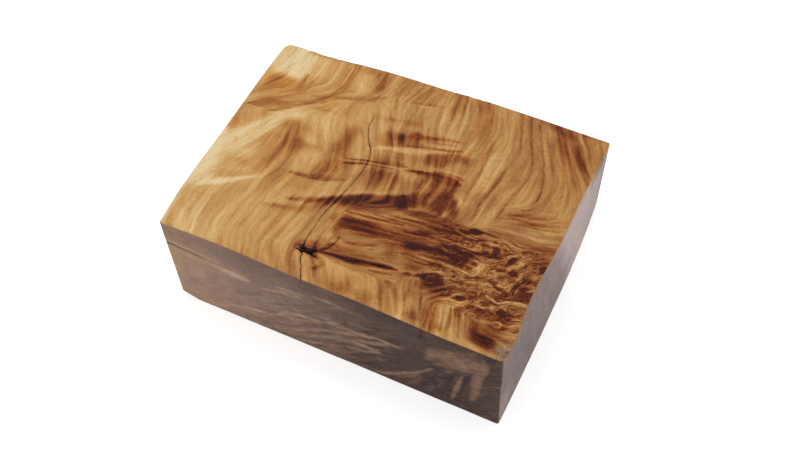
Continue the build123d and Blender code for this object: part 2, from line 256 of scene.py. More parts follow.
    (71, 25, 6, 5, .44, .2, .8, 1.8), (100, 27.4, 7, 3.4, .44, .2, .7, 1.6, 8),
    (69.5, 25.6, 4.2, 2.4, .51, .1, .9, 1.6, 10), (75, 28.6, 6, 1.6, .53, 0, .95, 1.7, 18),
    (75, 21.2, 8, 2, .33, .3, .85, 1.6, 4), (64.5, 23, 3.5, 1.4, .38, .3),
    (94, 29.2, 3.8, 2, .30, .3, .85, 1.6, 4), (71, 23, 3.6, 1.2, .49, .4, .8, 1.5, 8),
    (82.6, 27.4, 1.5, 2.8, .51, 0, .85, 1.6, -25), (87.6, 26.8, 2.1, 2.2, .34, .4, .85),
    (91, 24.4, 1.2, 2.2, .48, 0, .8, 1.5, -20), (96.4, 24.4, 3, 2.2, .32, .2, .85, 1.6),
    (80, 19.8, 14, 1.5, .31, .3, .85, 1.6, 4), (100.8, 21.8, 2, 1.3, .50, .1, .9, 1.6),
    (89.6, 23, 2, .8, .48, 0, .8, 1.5, 10), (64.5, 20.4, 3.6, 2, .33, .3, .85),
    (84, 23.2, 4, .8, .46, .1, .7, 1.5, 6), (60.5, 20, 4, 1.5, .38, .6),
    (58, 17.5, 5.5, 2.6, .36, .4, .8, 1.4), (58.6, 16.4, 4.8, 2.3, .24, .3, .8, 1.6),
    (64, 15.2, 2.2, .8, .22, .3, .9, 1.6, -6), (72, 8.4, 12, 5, .50, .3, .8, 1.6),
    (92, 9.5, 12, 6, .48, .1, .8, 1.6), (74, 12.6, 6, 3.4, .60, .2, .85, 1.6),
    (84, 11.6, 4, 4, .60, .1, .8, 1.6), (62.4, 12.6, 2.6, 1.6, .56, .3),
    (68.6, 9, 2.4, 2, .58, 0, .7), (88, 15, 3, 1.4, .58, .2, .8, 1.5, 8),
    (94, 18.6, 3, .9, .60, .3, .85, 1.5, 6), (101.4, 14.4, 2.4, 2.2, .41, .3, .8, 1.6),
    (102, 18.6, 3.4, 1.2, .34, .3, .85, 1.6, 8), (106, 6.4, 3, 1.9, .37, .3, .85, 1.6),
    (106.6, 11.8, 2.4, 1.8, .63, -.1), (102, 10, 1.6, 3, .60, 0, .8, 1.5, 15),
    (77, 6.4, 3, 1.6, .42, .5, .7), (91, 7.4, 2, 2.4, .42, .3, .7, 1.5, 15),
    (106.4, 12, 2.4, 5, .55, -.3, .85, 1.6, 15), (111.4, 9, 2.8, 6.6, .33, .6, .95, 1.8, 22),
    (113.6, 5, 3, 2.2, .26, .3, .9, 1.6), (116, 13.4, 1.4, 3.8, .53, -.3, .85, 1.6, 15),
    (119, 12.4, 1.9, 4.8, .39, .5, .9, 1.6, 14), (123.4, 9.8, 2.5, 4.8, .55, -.3, .9, 1.6, 12),
    (127.6, 12, 3, 3, .48, -.1), (132, 8.6, 5.6, 4, .34, .3, .85, 1.5, -8),
    (132.4, 6.8, 4.6, 2.4, .25, .2, .9, 1.4, -8), (139.3, 6.5, 2.6, 4.5, .48, -1, .9, 2),
    (98, 18, 6, 2.4, .47, 0, .7), (55, 11, 8, 5, .50, .2, .6),
]
# bands and flames: (x, y, half width) points, tone, warmth, softness left and right of the path,
# cover
woodBands = [
    # pale bands of the left half
    ([(0, 27.4, 1.6), (5, 28.6, 1.8), (10, 30.8, 1.5), (15, 33.6, 1.1), (20, 37, .9),
      (24, 39.6, .4)], .79, -.1, 1.6, 1.2, .95),
    ([(3, 50, 4), (7, 52, 6), (10, 57, 4.5), (13.5, 62, 4), (16, 67, 3.6), (19, 71.5, 2.6),
      (24, 74, 2)], .77, -.1, 3, 4, 1),
    ([(6, 47, 3), (12, 49, 3), (17, 50, 1)], .72, 0, 3, 3, .6),
    ([(7.5, 53, 1), (8, 51.6, .6)], .68, .2, 1.5, 1.5, .7),
    ([(17.6, 94.6, .4), (17.6, 91, .9), (17.6, 88.4, 1.5), (16.4, 86, 1.1), (14.4, 83.4, .6),
      (11, 81.5, .3)], .45, .3, 1, 1.8, .9),
    ([(21.4, 92, .5), (20.6, 88, .9), (18.6, 85, .6)], .48, .3, 1, 1.2, .7),
    ([(28, 84.6, .2), (31, 87, .5), (34, 88.4, .8), (38, 89.4, 1), (42, 90.4, 1.2),
      (46, 92.2, 1.3), (50, 94.2, 1), (53, 96.3, .3)], .45, .4, 1, 1.8, .85),
    ([(24.5, 84.8, .3), (27, 86, .7), (30, 87.4, .8), (32.3, 90, .6)], .47, .3, .6, 1.2, .8),
    ([(31, 84.4, .3), (27, 82, .5), (24.4, 80.2, .8), (21, 78, .9), (18, 75.6, .9),
      (15, 73.6, .8)], .42, .3, .8, 1.6, .9),
    ([(38, 81, .2), (34, 80.3, .6), (30, 79.8, .5), (26, 79.4, .2)], .48, .3, .5, 1.6, .7),
    ([(2, 71.6, .2), (6, 72.4, .8), (10, 72.6, 1), (14, 72.8, 1),
      (19, 75.4, .5)], .40, .4, 1.8, .6, .9),
    ([(35, 46.6, .3), (38, 46.9, .8), (42, 47.3, 1.1), (46, 48.4, 1.5), (50, 49.4, 1.5),
      (54, 50.5, .6), (57, 51.5, .1)], .34, .4, 1.6, .7, .9),
    ([(43.9, 56.5, .2), (43.7, 52, .6), (43, 49, .6), (42.5, 47, .3)], .43, .3, .6, .8, .8),
    ([(46, 53, .3), (45.6, 50.5, .7), (45.3, 48.6, .5)], .40, .4, .6, .8, .8),
    # the great smoke band, its tail and its end
    ([(50, 40, .3), (54, 42.8, .8), (58, 45, .8), (63, 47.6, .7), (68, 49.4, .8),
      (72, 50.6, .4)], .60, .3, .9, .9, .85),
    ([(33, 29, .2), (37, 29.8, .8), (40, 30.2, 1.1), (44, 31.2, 1.4), (48, 32.8, 1.6),
      (52, 35.2, 1.4), (56, 38.4, .8)], .42, .4, 1.2, 2.6, .85),
    ([(40.4, 34.8, .3), (43, 35.6, .8), (46, 36.8, 1.1), (49, 38, 1.2),
      (52, 39, 1)], .37, .3, 1.4, 1.2, .9),
    ([(43, 33.4, .2), (46, 34.4, .3), (49.4, 35.8, .2)], .55, .2, .5, .5, .7),
    ([(47.6, 35.8, .3), (50.4, 37.6, 1.1), (54, 39.6, 1.6), (58, 41.4, 2), (62, 43.1, 2.5),
      (66, 44.8, 2.8), (70, 46.3, 3), (74, 47.8, 3), (78, 49.4, 2.8), (82, 51, 2.9),
      (85, 52.2, 2.4), (88, 53.2, 1.4)], .22, .3, 1.3, 2.2, 1),
    ([(80, 50.8, 1), (85, 53, 3.2), (90, 54.4, 4.2), (94, 55.4, 4.6),
      (96.6, 56.2, 4)], .30, .4, 2, 2, .95),
    ([(60, 42.4, 1), (65, 44.6, 1.7), (70, 45.8, 1.6), (74, 46.8, .8)], .17, -.3, 1.6, 1.6, .8),
    ([(76, 48.6, .8), (82, 51, 1.4), (88, 53, 1.2), (93, 53.6, .6)], .24, .2, 1.6, 1.6, .7),
    ([(96.4, 50, .7), (96.6, 57, 1), (96.6, 63, .8), (96.4, 67, .3)], .32, .4, .8, .8, .85),
    # crease under the second band, and the second band
    ([(52, 60.9, .2), (55.6, 61.9, .3), (59, 62.9, .5), (63, 63.7, .6), (67, 64.4, .7),
      (72, 65.5, .5), (77, 66.6, .3)], .29, .4, .5, .8, .95),
    ([(52, 58.8, .3), (55, 59.7, .6), (58.4, 61.1, .5), (62, 62, .4), (67, 62.9, .4),
      (72, 63.6, .3)], .32, .4, .5, .7, .9),
    ([(49, 59.6, .2), (54, 60.9, .35), (58, 62.1, .3), (63, 62.8, .3), (68, 63.7, .3),
      (73, 64.7, .3), (80, 65.8, .4)], .60, .1, .35, .35, .85),
    ([(65, 64.8, .4), (70, 66.2, 1), (74, 67, .5)], .36, .3, 1.2, .6, .8),
    ([(76, 64.9, .3), (80, 65.7, .7), (84, 66.2, 1.1), (88, 66.6, 1.6), (92, 66.5, 1.9),
      (96, 66.3, 1.8), (97.4, 66.2, .6)], .26, .8, .6, 1.6, 1),
    ([(84, 64.9, .3), (88, 65.6, .8), (92, 66, .5)], .33, .4, .8, .8, .8),
    ([(82, 68.6, .2), (87, 69.9, .3), (92, 70.6, .3), (98, 70.4, .3)], .58, .3, .5, .5, .7),
    ([(76, 66.2, .3), (80, 67.4, .6), (84, 67.9, .5)], .58, .2, .5, .6, .8),
    ([(86, 68.4, .3), (91, 69, .5), (95, 69.2, .5), (98, 68.6, .4)], .34, .6, .5, .5, .8),
    # upper bands
    ([(101.8, 92, .4), (101.4, 84, .8), (101.4, 76, .9), (101.6, 68, .8),
      (101.8, 60, .5)], .46, .3, .8, .8, .7),
    ([(70, 80.6, 1), (75, 82.2, 1.3), (79, 83.3, .9), (84, 84.6, .7), (89, 85.7, .3),
      (92, 86, .1)], .36, .7, .6, 1.2, .95),
    ([(77, 81, .4), (83, 82.2, .6), (89, 83.2, .3)], .42, .3, .7, .7, .8),
    ([(80, 79.8, .3), (84, 80.6, .5), (89, 82, .4)], .60, .2, .5, .6, .7),
    ([(83, 79.3, .2), (86, 79.7, .6), (89, 80.7, .6), (92, 81.8, .2)], .34, .4, .5, .6, .95),
    ([(69, 75.4, .3), (73, 76.6, .6), (78, 78, .4), (83, 79.1, .4), (87, 80, .4),
      (91, 81, .3)], .36, .4, 1, .6, .85),
    ([(57, 68.6, .4), (61, 70.6, .7), (66, 72.4, .8), (70, 73.2, 1.3), (75, 74.4, 1.5),
      (79, 75.9, 1), (83, 77.6, .6), (87, 78.8, .3)], .66, .1, .8, 1.2, .95),
    ([(64.5, 97.8, .3), (68, 98.5, .7), (72, 99.3, .8), (77, 100.2, .3)], .46, .3, .8, .5, .85),
    ([(66.8, 97, .3), (69.5, 97.4, .7), (73, 98.2, .3)], .66, .2, .4, 1.2, .9),
    ([(56, 85.4, .3), (60, 86, .6), (65, 87.2, .5)], .47, .3, .5, 1, .7),
    # ripples at the right edge
    ([(116, 57.6, .2), (120, 58.4, .4), (124, 59.2, .4), (129, 59.6, .4),
      (134, 59.9, .3)], .40, .3, .4, .7, .8),
    ([(118, 60, .2), (122, 61, .5), (126, 61.8, .6), (130, 62.8, .6), (134, 64.2, .4),
      (138, 66, .2)], .38, .4, .5, .8, .85),
    ([(120, 59.6, .3), (126, 59.7, .5), (131, 60.3, .8), (136, 61.6, .5),
      (139, 62.6, .2)], .33, .5, .6, .6, .9),
    ([(119, 59.6, .2), (124, 60.4, .3), (129, 61.1, .3), (134, 62.2, .3)], .55, .2, .4, .4, .7),
    ([(122, 63.2, .3), (128, 64.6, .7), (134, 66.6, .5)], .58, .1, .6, .8, .7),
    ([(125, 57.8, .2), (130, 58.4, .4), (135, 59, .4), (140, 60, .2)], .38, .4, .4, .5, .8),
    ([(127, 57.4, .3), (133, 58, .3), (138, 58.6, .2)], .58, .2, .3, .3, .6),
    ([(119, 63.4, .2), (122.6, 64, .5), (126, 65.2, .4), (127.6, 66.8, .2)], .40, .3, .5, .7, .8),
    ([(111, 56, .2), (116, 56.4, .3), (122, 57, .3)], .50, .1, .4, .4, .5),
    # ripples across the pale ring
    ([(101.4, 81.2, .2), (105, 82.4, .5), (108.4, 83.2, .2)], .57, .1, .7, .7, .7),
    ([(102, 84, .2), (105.4, 85, .4), (108, 85.8, .2)], .58, .1, .6, .6, .6),
    ([(103, 72.4, .2), (106, 73.6, .4), (109, 74.2, .3), (113, 74.8, .2)], .56, .1, .6, .6, .6),
    ([(103.4, 67.4, .2), (107, 68.6, .4), (112, 69.4, .2)], .56, .1, .6, .6, .6),
    ([(114, 53.5, .2), (120, 54, .3), (127, 54.8, .2)], .50, .1, .4, .4, .5),
    ([(116, 50.7, .3), (121, 51.4, .7), (126, 52, .6), (131, 51.4, .7), (136, 51.6, 1),
      (141, 51.6, 1.2)], .40, .1, .8, .8, .9),
    ([(122, 64.8, .3), (126, 67.5, .3)], .44, .2, .4, .4, .5),
    # flame lines left of the burl
    ([(65.4, 36.9, .3), (70, 37.3, .4), (76, 38, .35), (83, 39.1, .2)], .54, 1, .45, .45, .95),
    ([(58, 38, .6), (61, 37.8, 1), (64, 37.6, .4)], .55, .8, .6, .8, .85),
    ([(63.4, 38.2, .3), (68, 38.5, .6), (73, 39, .6), (79, 39.8, .5),
      (86, 40.5, .4)], .25, .6, .4, .4, .95),
    ([(60, 39.5, .4), (66, 39.8, .4), (74, 40.5, .3), (80, 41, .2)], .49, .2, .4, .4, .8),
    ([(74, 40.9, .2), (82, 41.3, .4), (90, 42.2, .4), (94, 42.6, .2)], .28, .5, .4, .5, .9),
    ([(79, 42, .2), (85, 42.4, .3), (91, 43.2, .2)], .52, .3, .4, .4, .9),
    ([(79, 43, .2), (85, 43.5, .4), (91, 44.3, .4), (95, 44.8, .2)], .29, .5, .4, .5, .9),
    ([(82, 44.2, .2), (88, 44.8, .3), (94, 45.6, .2)], .50, .3, .4, .4, .85),
    ([(84, 45.6, .2), (90, 46, .4), (96, 46.4, .5), (103, 46.4, .4),
      (109, 45.9, .3)], .30, .5, .5, .5, .85),
    ([(83, 37.6, .2), (88, 38.2, .6), (93, 39, .5), (98, 40, .2)], .24, .4, .5, .5, .9),
    ([(77, 36.9, .2), (84, 37.6, .3), (90, 38.4, .2)], .41, .6, .4, .4, .85),
    ([(80, 39.9, .2), (86, 39.6, .4), (91, 40.3, .3)], .42, .4, .4, .4, .7),
    ([(92.2, 40.3, .4), (95, 40.6, .8), (98, 41.4, .3)], .20, .2, .5, .6, .95),
    ([(94, 42.6, .2), (98, 43, .3), (103, 43.8, .2)], .46, .4, .4, .4, .85),
    ([(97, 39.4, .3), (102, 40.2, .5), (107, 40.7, .3)], .22, .3, .4, .4, .9),
    ([(96, 38.3, .2), (101, 38.7, .3), (106, 39.4, .2)], .46, .5, .4, .4, .85),
    ([(95, 43.4, .5), (98.5, 43.9, 1), (102, 44.6, .6), (106, 45, .2)], .24, .3, .6, .6, .9),
    ([(97, 41.2, .2), (103, 42, .4), (108, 43.2, .4), (114, 44.6, .2)], .32, .4, .4, .5, .8),
    ([(99, 40, .2), (104, 41, .4), (110, 41.8, .5), (115, 42.6, .2)], .55, .3, .4, .4, .8),
    ([(100, 39, .2), (105, 39.5, .5), (110, 39.6, .4), (117, 39.2, .2)], .28, .3, .4, .5, .8),
    ([(106, 43.9, .2), (111, 44.9, .4), (116, 45.4, .2)], .56, .3, .4, .4, .7),
    ([(110, 48.9, .2), (115, 49.3, .4), (120, 49, .3), (124, 47.6, .2)], .33, .4, .4, .4, .85),
    ([(106, 46.6, .2), (108.5, 47.1, .8), (110, 47.4, .3)], .22, .2, .4, .5, .95),
    ([(109.6, 47.8, .3), (111.5, 48.3, 1.3), (113.6, 48.6, .6)], .21, .2, .5, .7, 1),
    # black streaks
    ([(89.5, 33.6, .3), (93, 34.4, 1), (97, 34.8, 1.1), (101, 34.8, .7)], .17, .2, .6, .6, 1),
    ([(94, 32, .2), (99, 32.2, .3), (105, 32.8, .2)], .40, .4, .3, .4, .8),
    ([(95, 31, .2), (100, 31.3, .5), (106, 31.8, .3)], .24, .3, .4, .4, .85),
    ([(99, 34.2, .5), (104, 34.4, .9), (110, 34.8, 1), (115, 35.3, .9),
      (118, 35.6, .4)], .19, .3, .6, .7, 1),
    ([(102, 38.4, .2), (106, 38, .6), (111, 37.7, .8), (116, 37.4, .5),
      (118, 37.2, .1)], .20, .2, .5, .6, 1),
    ([(86, 36.4, .2), (91, 37, .6), (96, 37.6, .5), (100, 37.8, .2)], .26, .4, .5, .6, .9),
    ([(96, 33, .2), (102, 33.2, .4), (108, 33.9, .2)], .45, .4, .3, .4, .7),
    ([(102, 36.5, .2), (109, 36.4, .35), (115, 36.3, .3), (120, 36.8, .2)], .46, .4, .4, .4, .8),
    ([(104, 40.6, .2), (109, 40.4, .4), (115, 40.4, .3)], .52, .2, .4, .4, .7),
    # in and under the red-brown patch
    ([(63, 30, .2), (68, 30.6, .4), (75, 31.6, .4), (82, 33.4, .2)], .46, .5, .6, .6, .6),
    ([(70, 34, .1), (76, 34.4, .25), (84, 35.3, .2)], .46, .6, .4, .4, .8),
    ([(72, 36, .1), (78, 36.1, .25), (85, 36.8, .2)], .44, .6, .4, .4, .7),
    ([(80, 32.2, .2), (86, 32.4, .4), (92, 33.4, .3)], .48, .4, .5, .5, .8),
    ([(69, 25.2, .2), (73, 25.7, .6), (77, 26.8, .7), (81, 28.6, .2)], .28, .4, .6, .6, .9),
    ([(66, 24, .2), (71, 24.2, .4), (76, 24.8, .2)], .42, .8, .5, .6, .8),
    ([(69, 21, .2), (73, 21.4, .7), (78, 22.4, .2)], .38, .3, .7, .7, .8),
    ([(78, 22, .1), (81, 22, .35), (85, 22.4, .1)], .36, .2, .4, .4, .8),
    ([(84, 25.4, .3), (87.5, 26.8, .9), (90, 27.4, .3)], .36, .3, .8, .8, .7),
    ([(91, 28.9, .2), (97, 29, .4), (103, 29.1, .4), (111, 29.3, .2)], .24, .3, .4, .4, .9),
    ([(92, 27.3, .2), (97, 27.5, .4), (104, 28.2, .2)], .28, .3, .4, .4, .85),
    ([(92, 28.4, .2), (98, 28.6, .3), (105, 28.9, .2)], .52, .2, .4, .4, .85),
    ([(96, 29.9, .2), (102, 30.2, .4), (110, 30.8, .2)], .52, .4, .4, .4, .9),
    ([(96, 26.6, .2), (102, 26.8, .3), (109, 27.6, .2)], .50, .3, .4, .4, .7),
    # bark seam
    ([(66, 20.4, .2), (70, 21, .6), (74, 21.6, .6), (78, 22.2, .4),
      (83, 22.8, .2)], .31, .4, .7, .7, .9),
    ([(77, 20.8, .1), (81, 21.4, .3), (85, 22.3, .1)], .56, .1, .4, .4, .8),
    ([(62.6, 16.9, .2), (66, 16.8, .35), (70, 16.7, .3), (74, 17.2, .2)], .34, .3, .4, .5, .85),
    ([(78, 18.2, .2), (82, 19, .5), (86, 19.6, .3)], .30, .2, .6, .8, .7),
    ([(61, 17.6, .4), (64, 17.9, .3), (68, 18.2, .4), (72, 18.4, .7), (75, 18.5, 1.2),
      (78, 19, 1.4), (81, 19.7, 1.3), (85, 20.6, 1.1), (89, 21.1, .9),
      (92.4, 21.5, .3)], .11, .6, .8, 1, .95),
    ([(60.6, 18.6, .4), (63.4, 19, .7), (65, 20.4, .5), (66.2, 22.6, .3), (66.8, 25, .2),
      (66.4, 27.6, .1)], .22, .3, .6, .6, .9),
    # strip at the front edge
    ([(63.6, 15.4, .6), (66, 13.8, 1.1), (66.2, 12, 1), (65, 10.6, .7),
      (63.6, 10.2, .2)], .36, .4, 1, 1, .9),
    ([(83, 17.4, .2), (86, 17.9, .5), (90, 18.6, .4), (92, 18.9, .2)], .38, .5, .5, .7, .85),
    ([(65.6, 17.1, .2), (69, 16.7, .3), (72, 16.1, .2)], .40, .4, .3, .5, .7),
    ([(90.6, 16, .3), (93, 15, 1.2), (95.4, 13, 1.1), (97.6, 10, .6),
      (100.2, 5.2, .5)], .37, .3, 1, 1, .85),
    ([(77, 9.5, .3), (78.5, 7, .7), (79.5, 5, .4)], .38, .5, .8, .8, .7),
    ([(66, 16, .2), (69.4, 10.6, .25), (72.6, 5.2, .2)], .40, .3, .3, .5, .7),
    ([(60, 9.6, .2), (61, 7.6, .3), (62.4, 5.4, .2)], .40, .3, .3, .5, .7),
    ([(85.5, 9, .2), (87, 7, .5), (88, 5.4, .4)], .42, .4, .8, .8, .6),
    ([(97, 17.2, .1), (99.5, 12.5, .35), (102.5, 5, .3)], .36, .3, .4, .8, .8),
    ([(104, 17, .2), (106, 12, .4), (108.5, 5, .3)], .37, .3, .4, .8, .7),
    ([(114, 14.5, .2), (115.6, 10, .4), (117, 5, .3)], .35, .3, .4, .8, .7),
    ([(119, 17.2, .1), (121, 11.6, .35), (123.6, 4.6, .3)], .28, .3, .4, .6, .9),
    ([(126, 16, .2), (127.5, 13, .8), (129, 10.8, .5)], .34, .4, .8, .8, .7),
    ([(123, 102, .4), (127, 95.5, 1.3), (130.6, 88.6, 1.5), (133.4, 82, 1.1),
      (135, 76, .4)], .45, .3, 1.2, 1.2, .8),
    # painted sheen: this pale band down the left edge of the top stands in for the light that the
    # rounded edge catches
    ([(.6, 8, 1.2), (.5, 24, 1.2), (.8, 34, 2.6), (1.2, 42, 3), (1.4, 50, 2),
      (1, 56, 1)], .84, -.1, 1, 2.6, .85),
    ([(0, 18, .5), (2.4, 24, .7), (4.6, 29, .6), (7.6, 34.6, .3)], .68, -.4, .8, .8, .6),
    ([(1, 79, .8), (1.4, 86, 1.2), (1, 92, .6)], .66, .8, 1, 2, .6),
    # edges
    ([(45, 110, 1.2), (36, 109, 1.4), (26, 107.6, 1), (14, 106.6, .8)], .52, -.6, 1, 1, .6),
    ([(112, 109, .6), (120, 108.6, 1.2), (130, 108, 1), (141, 107.6, .5)], .40, .2, 1, 1, .6),
]
# ring lines: points, tone step, half width, softness
woodRings = [
    ([(8.6, 98.5), (8.2, 95), (8, 91)], -.14, .35, .6), ([(6.4, 106), (6.2, 99)], -.05, .8, 1),
    ([(17.8, 106), (17.6, 99), (17.6, 94)], -.10, .4, 1),
    ([(24.6, 105.5), (24.6, 97), (24.4, 90)], -.05, .4, 1),
    ([(33.8, 108), (34.2, 100), (33.6, 95), (32.3, 90.4), (30, 87.8)], -.17, .35, .5),
    ([(35.7, 107.5), (35.9, 101), (35.2, 95.5), (34, 91)], -.14, .25, .5),
    ([(31.9, 105), (32.2, 99), (31.8, 94), (30.6, 89.6)], -.12, .3, .6),
    ([(37, 100), (36.6, 97), (35.8, 94)], -.08, .2, .4),
    ([(44.5, 107), (44.3, 101)], -.14, .5, .8), ([(41.6, 108.5), (41.3, 104)], -.08, .5, .8),
    ([(50, 109), (50, 103), (49.3, 98.5), (47.6, 94.8)], -.13, .35, .6),
    ([(47.2, 100), (46.4, 96.6), (45, 94.4)], -.10, .25, .5),
    ([(48.6, 100.6), (48, 96.8), (46.4, 94)], -.10, .25, .5),
    ([(52.4, 108), (52.4, 102), (51.2, 97.4), (49.4, 95)], -.12, .35, .6),
    ([(56.9, 108), (57, 104), (56, 99), (53.4, 95.6)], -.13, .35, .7),
    ([(60.2, 108.5), (59.4, 102), (57, 97.6)], -.08, .5, .8),
    ([(64.2, 108.5), (63.4, 103.6), (61.3, 98.6), (60.4, 95.4), (61.6, 91)], -.13, .4, .7),
    ([(57.6, 96), (58.8, 93), (59.6, 89.6)], -.12, .6, .8),
    ([(68.8, 107), (67.4, 101.6), (65.3, 97.9)], -.12, .35, .7),
    ([(65.3, 97.9), (66.4, 95.7), (66.8, 92.6)], -.18, .25, .4),
    ([(66.8, 92.6), (66.2, 88), (66.1, 83)], -.09, .25, .5),
    ([(71, 108.6), (70.6, 101)], -.07, .4, .7), ([(74.4, 98), (74.2, 93)], -.06, .4, .7),
    ([(77.8, 108.6), (77.6, 104), (77.8, 99), (78.6, 95.6), (77.6, 92)], -.10, .35, .7),
    ([(80.6, 109), (81, 102), (81.6, 95)], -.07, .4, .7),
    ([(82.9, 109.4), (84, 104), (85, 99.6), (85.6, 96.8)], -.20, .35, .6),
    ([(85.8, 95.4), (86, 91), (85.6, 87)], -.05, .4, .7),
    ([(88, 108), (90.4, 102), (92, 96)], -.07, .5, .8),
    ([(93.6, 108), (96, 101.6), (97.8, 95), (98.4, 90), (97.2, 85), (95.8, 80.5)], -.10, .8, 1),
    ([(98, 108.6), (100.4, 103), (102.6, 97)], -.08, .3, .6),
    ([(100.6, 108.6), (103.2, 102), (105, 96)], -.05, .3, .6),
    ([(103.5, 88), (102.6, 83), (102.4, 78), (102.8, 70)], -.12, .4, .5),
    ([(106.4, 109), (108, 104), (109.8, 98.8), (111.4, 93.6), (112.4, 89), (112.2, 84),
      (111.2, 79), (110.4, 73), (109.6, 67), (109, 61)], -.15, .45, .8),
    ([(112, 66), (112.2, 61), (112.4, 56)], -.05, .4, .8),
    ([(110.4, 109), (111.8, 104.4), (113.6, 99.6), (115.6, 95), (117.8, 90.4), (119.6, 85.6),
      (120.3, 81), (119.8, 76), (118.6, 71), (117.8, 66.6), (117, 62),
      (116.2, 56)], -.19, .42, .7),
    ([(112.6, 106.6), (115, 101), (117.6, 95.4), (120, 91)], -.07, .3, .5),
    ([(115, 105.6), (117, 101.4), (119.4, 96.4), (121.6, 91.6), (124, 86.4), (125.6, 81.4),
      (126.8, 76.6), (127.2, 72), (126.4, 68.6), (124.8, 66)], -.21, .34, .5),
    ([(123.6, 80), (125, 74), (124.4, 69)], -.06, .4, .7),
    ([(121, 108), (124, 103), (126.6, 98), (129, 93.6), (131.6, 88), (133.6, 82.6), (134.6, 77),
      (134.6, 71)], -.10, .4, .7),
    ([(125, 106), (128, 100), (131.6, 93.6), (134.4, 88), (137, 82.6), (139, 77)], -.08, .3, .6),
    ([(107.6, 100), (108.8, 95), (109.6, 90), (109.4, 84), (108.4, 77),
      (107.4, 70)], -.08, .3, .5),
    ([(115.8, 92), (117, 87), (117.4, 81), (116.6, 74), (115.6, 67)], -.07, .3, .5),
    ([(57.4, 96.6), (58.4, 92), (58.6, 86), (57.6, 81)], -.08, .8, 1.2),
    ([(77.4, 108.6), (77, 103), (76.4, 98)], -.07, .6, 1),
    ([(83.8, 104), (84.8, 98), (84.4, 92), (83.6, 87)], -.07, .9, 1.2),
    ([(55.4, 95), (56, 91), (55.8, 87)], -.07, .3, .5),
    ([(63.4, 94), (63.8, 90), (63.2, 86)], -.08, .3, .5),
    ([(69.4, 97), (70.2, 93), (69.8, 90)], -.07, .3, .5),
    ([(73.6, 106), (73.4, 101)], -.07, .3, .5),
    ([(53.6, 92), (54.6, 87), (54, 82)], -.08, .3, .5), ([(91.6, 93), (91.4, 88)], -.05, .3, .5),
    ([(122.6, 86), (123.4, 80), (122.8, 74), (121.6, 68)], -.07, .3, .5),
    ([(130.8, 84), (131.6, 78), (131.2, 72), (130, 67)], -.07, .3, .5),
    ([(119, 103), (121.6, 98), (124.2, 93), (126.6, 88), (128.4, 83)], -.06, .4, .8),
    ([(134, 92), (137.4, 86), (140, 80)], -.06, .3, .5),
    ([(131.4, 104), (132.6, 100.6), (134.2, 97.4), (136.8, 94), (139.6, 90.6),
      (142, 87)], -.13, .35, .7),
    ([(131.4, 102.4), (132.6, 100), (134.2, 97)], -.06, .8, 1.1),
    ([(105, 88), (104.8, 82)], -.05, .4, .6),
    ([(108.5, 61), (108.3, 55), (108.2, 50)], -.16, .9, .8),
    ([(60.3, 86.8), (61.2, 84.6)], -.18, .3, .4),
    ([(61.2, 82.4), (62.4, 79.9), (64, 77), (65.6, 74.4), (67.2, 71), (68.4, 69),
      (69, 66.6)], -.17, .2, .35),
    ([(67, 81.4), (68.2, 78.4), (69.5, 75.4), (71, 72.4), (72.4, 69.8),
      (73.4, 67.2)], -.14, .2, .35),
    ([(75.4, 88.6), (76, 85.4), (77.3, 81.8), (78.4, 78)], -.18, .25, .45),
    ([(70.8, 90.8), (71.6, 89.4), (72.6, 88)], -.18, .4, .5),
    ([(74, 81), (75.6, 77), (77, 73)], -.08, .25, .5), ([(82, 74), (83, 70)], -.06, .25, .5),
    ([(60.8, 63), (60.4, 60)], -.1, .2, .4),
    ([(74.3, 62.5), (74.5, 58), (74, 53)], -.12, .25, .5),
    ([(65.4, 60), (65.6, 55), (65.4, 51)], -.10, .25, .5),
    ([(83.8, 64), (84, 60), (83.6, 57)], -.08, .25, .5),
    ([(67.5, 61), (68, 57), (67.4, 53)], -.08, .3, .5), ([(71, 61.6), (71.2, 57)], -.06, .3, .5),
    ([(30.2, 56.8), (31.2, 53.4), (31, 49), (29.8, 46)], -.09, .3, .6),
    ([(26.3, 60), (26.8, 54), (26.2, 48)], -.09, .4, .7),
    ([(27, 73), (29, 69.4), (30.6, 66.6)], -.07, .3, .6),
    ([(38, 76.6), (40.4, 71.6), (42.6, 67.6), (44.4, 63.6)], -.09, .25, .5),
    ([(41, 76), (43, 72), (45.6, 67)], -.07, .25, .5), ([(37.6, 52), (37.6, 47)], -.06, .3, .6),
    ([(40, 12), (41, 22), (42.2, 30)], -.08, .3, .8), ([(29.4, 12), (30.2, 26)], -.04, .4, .8),
    ([(47.4, 12), (48.6, 25)], -.05, .4, .8),
    ([(.5, 22), (2, 28), (4, 32), (7.4, 35.2)], -.12, .3, .7),
    ([(9, 42), (13, 44.6), (18, 47)], -.05, .4, .8),
]
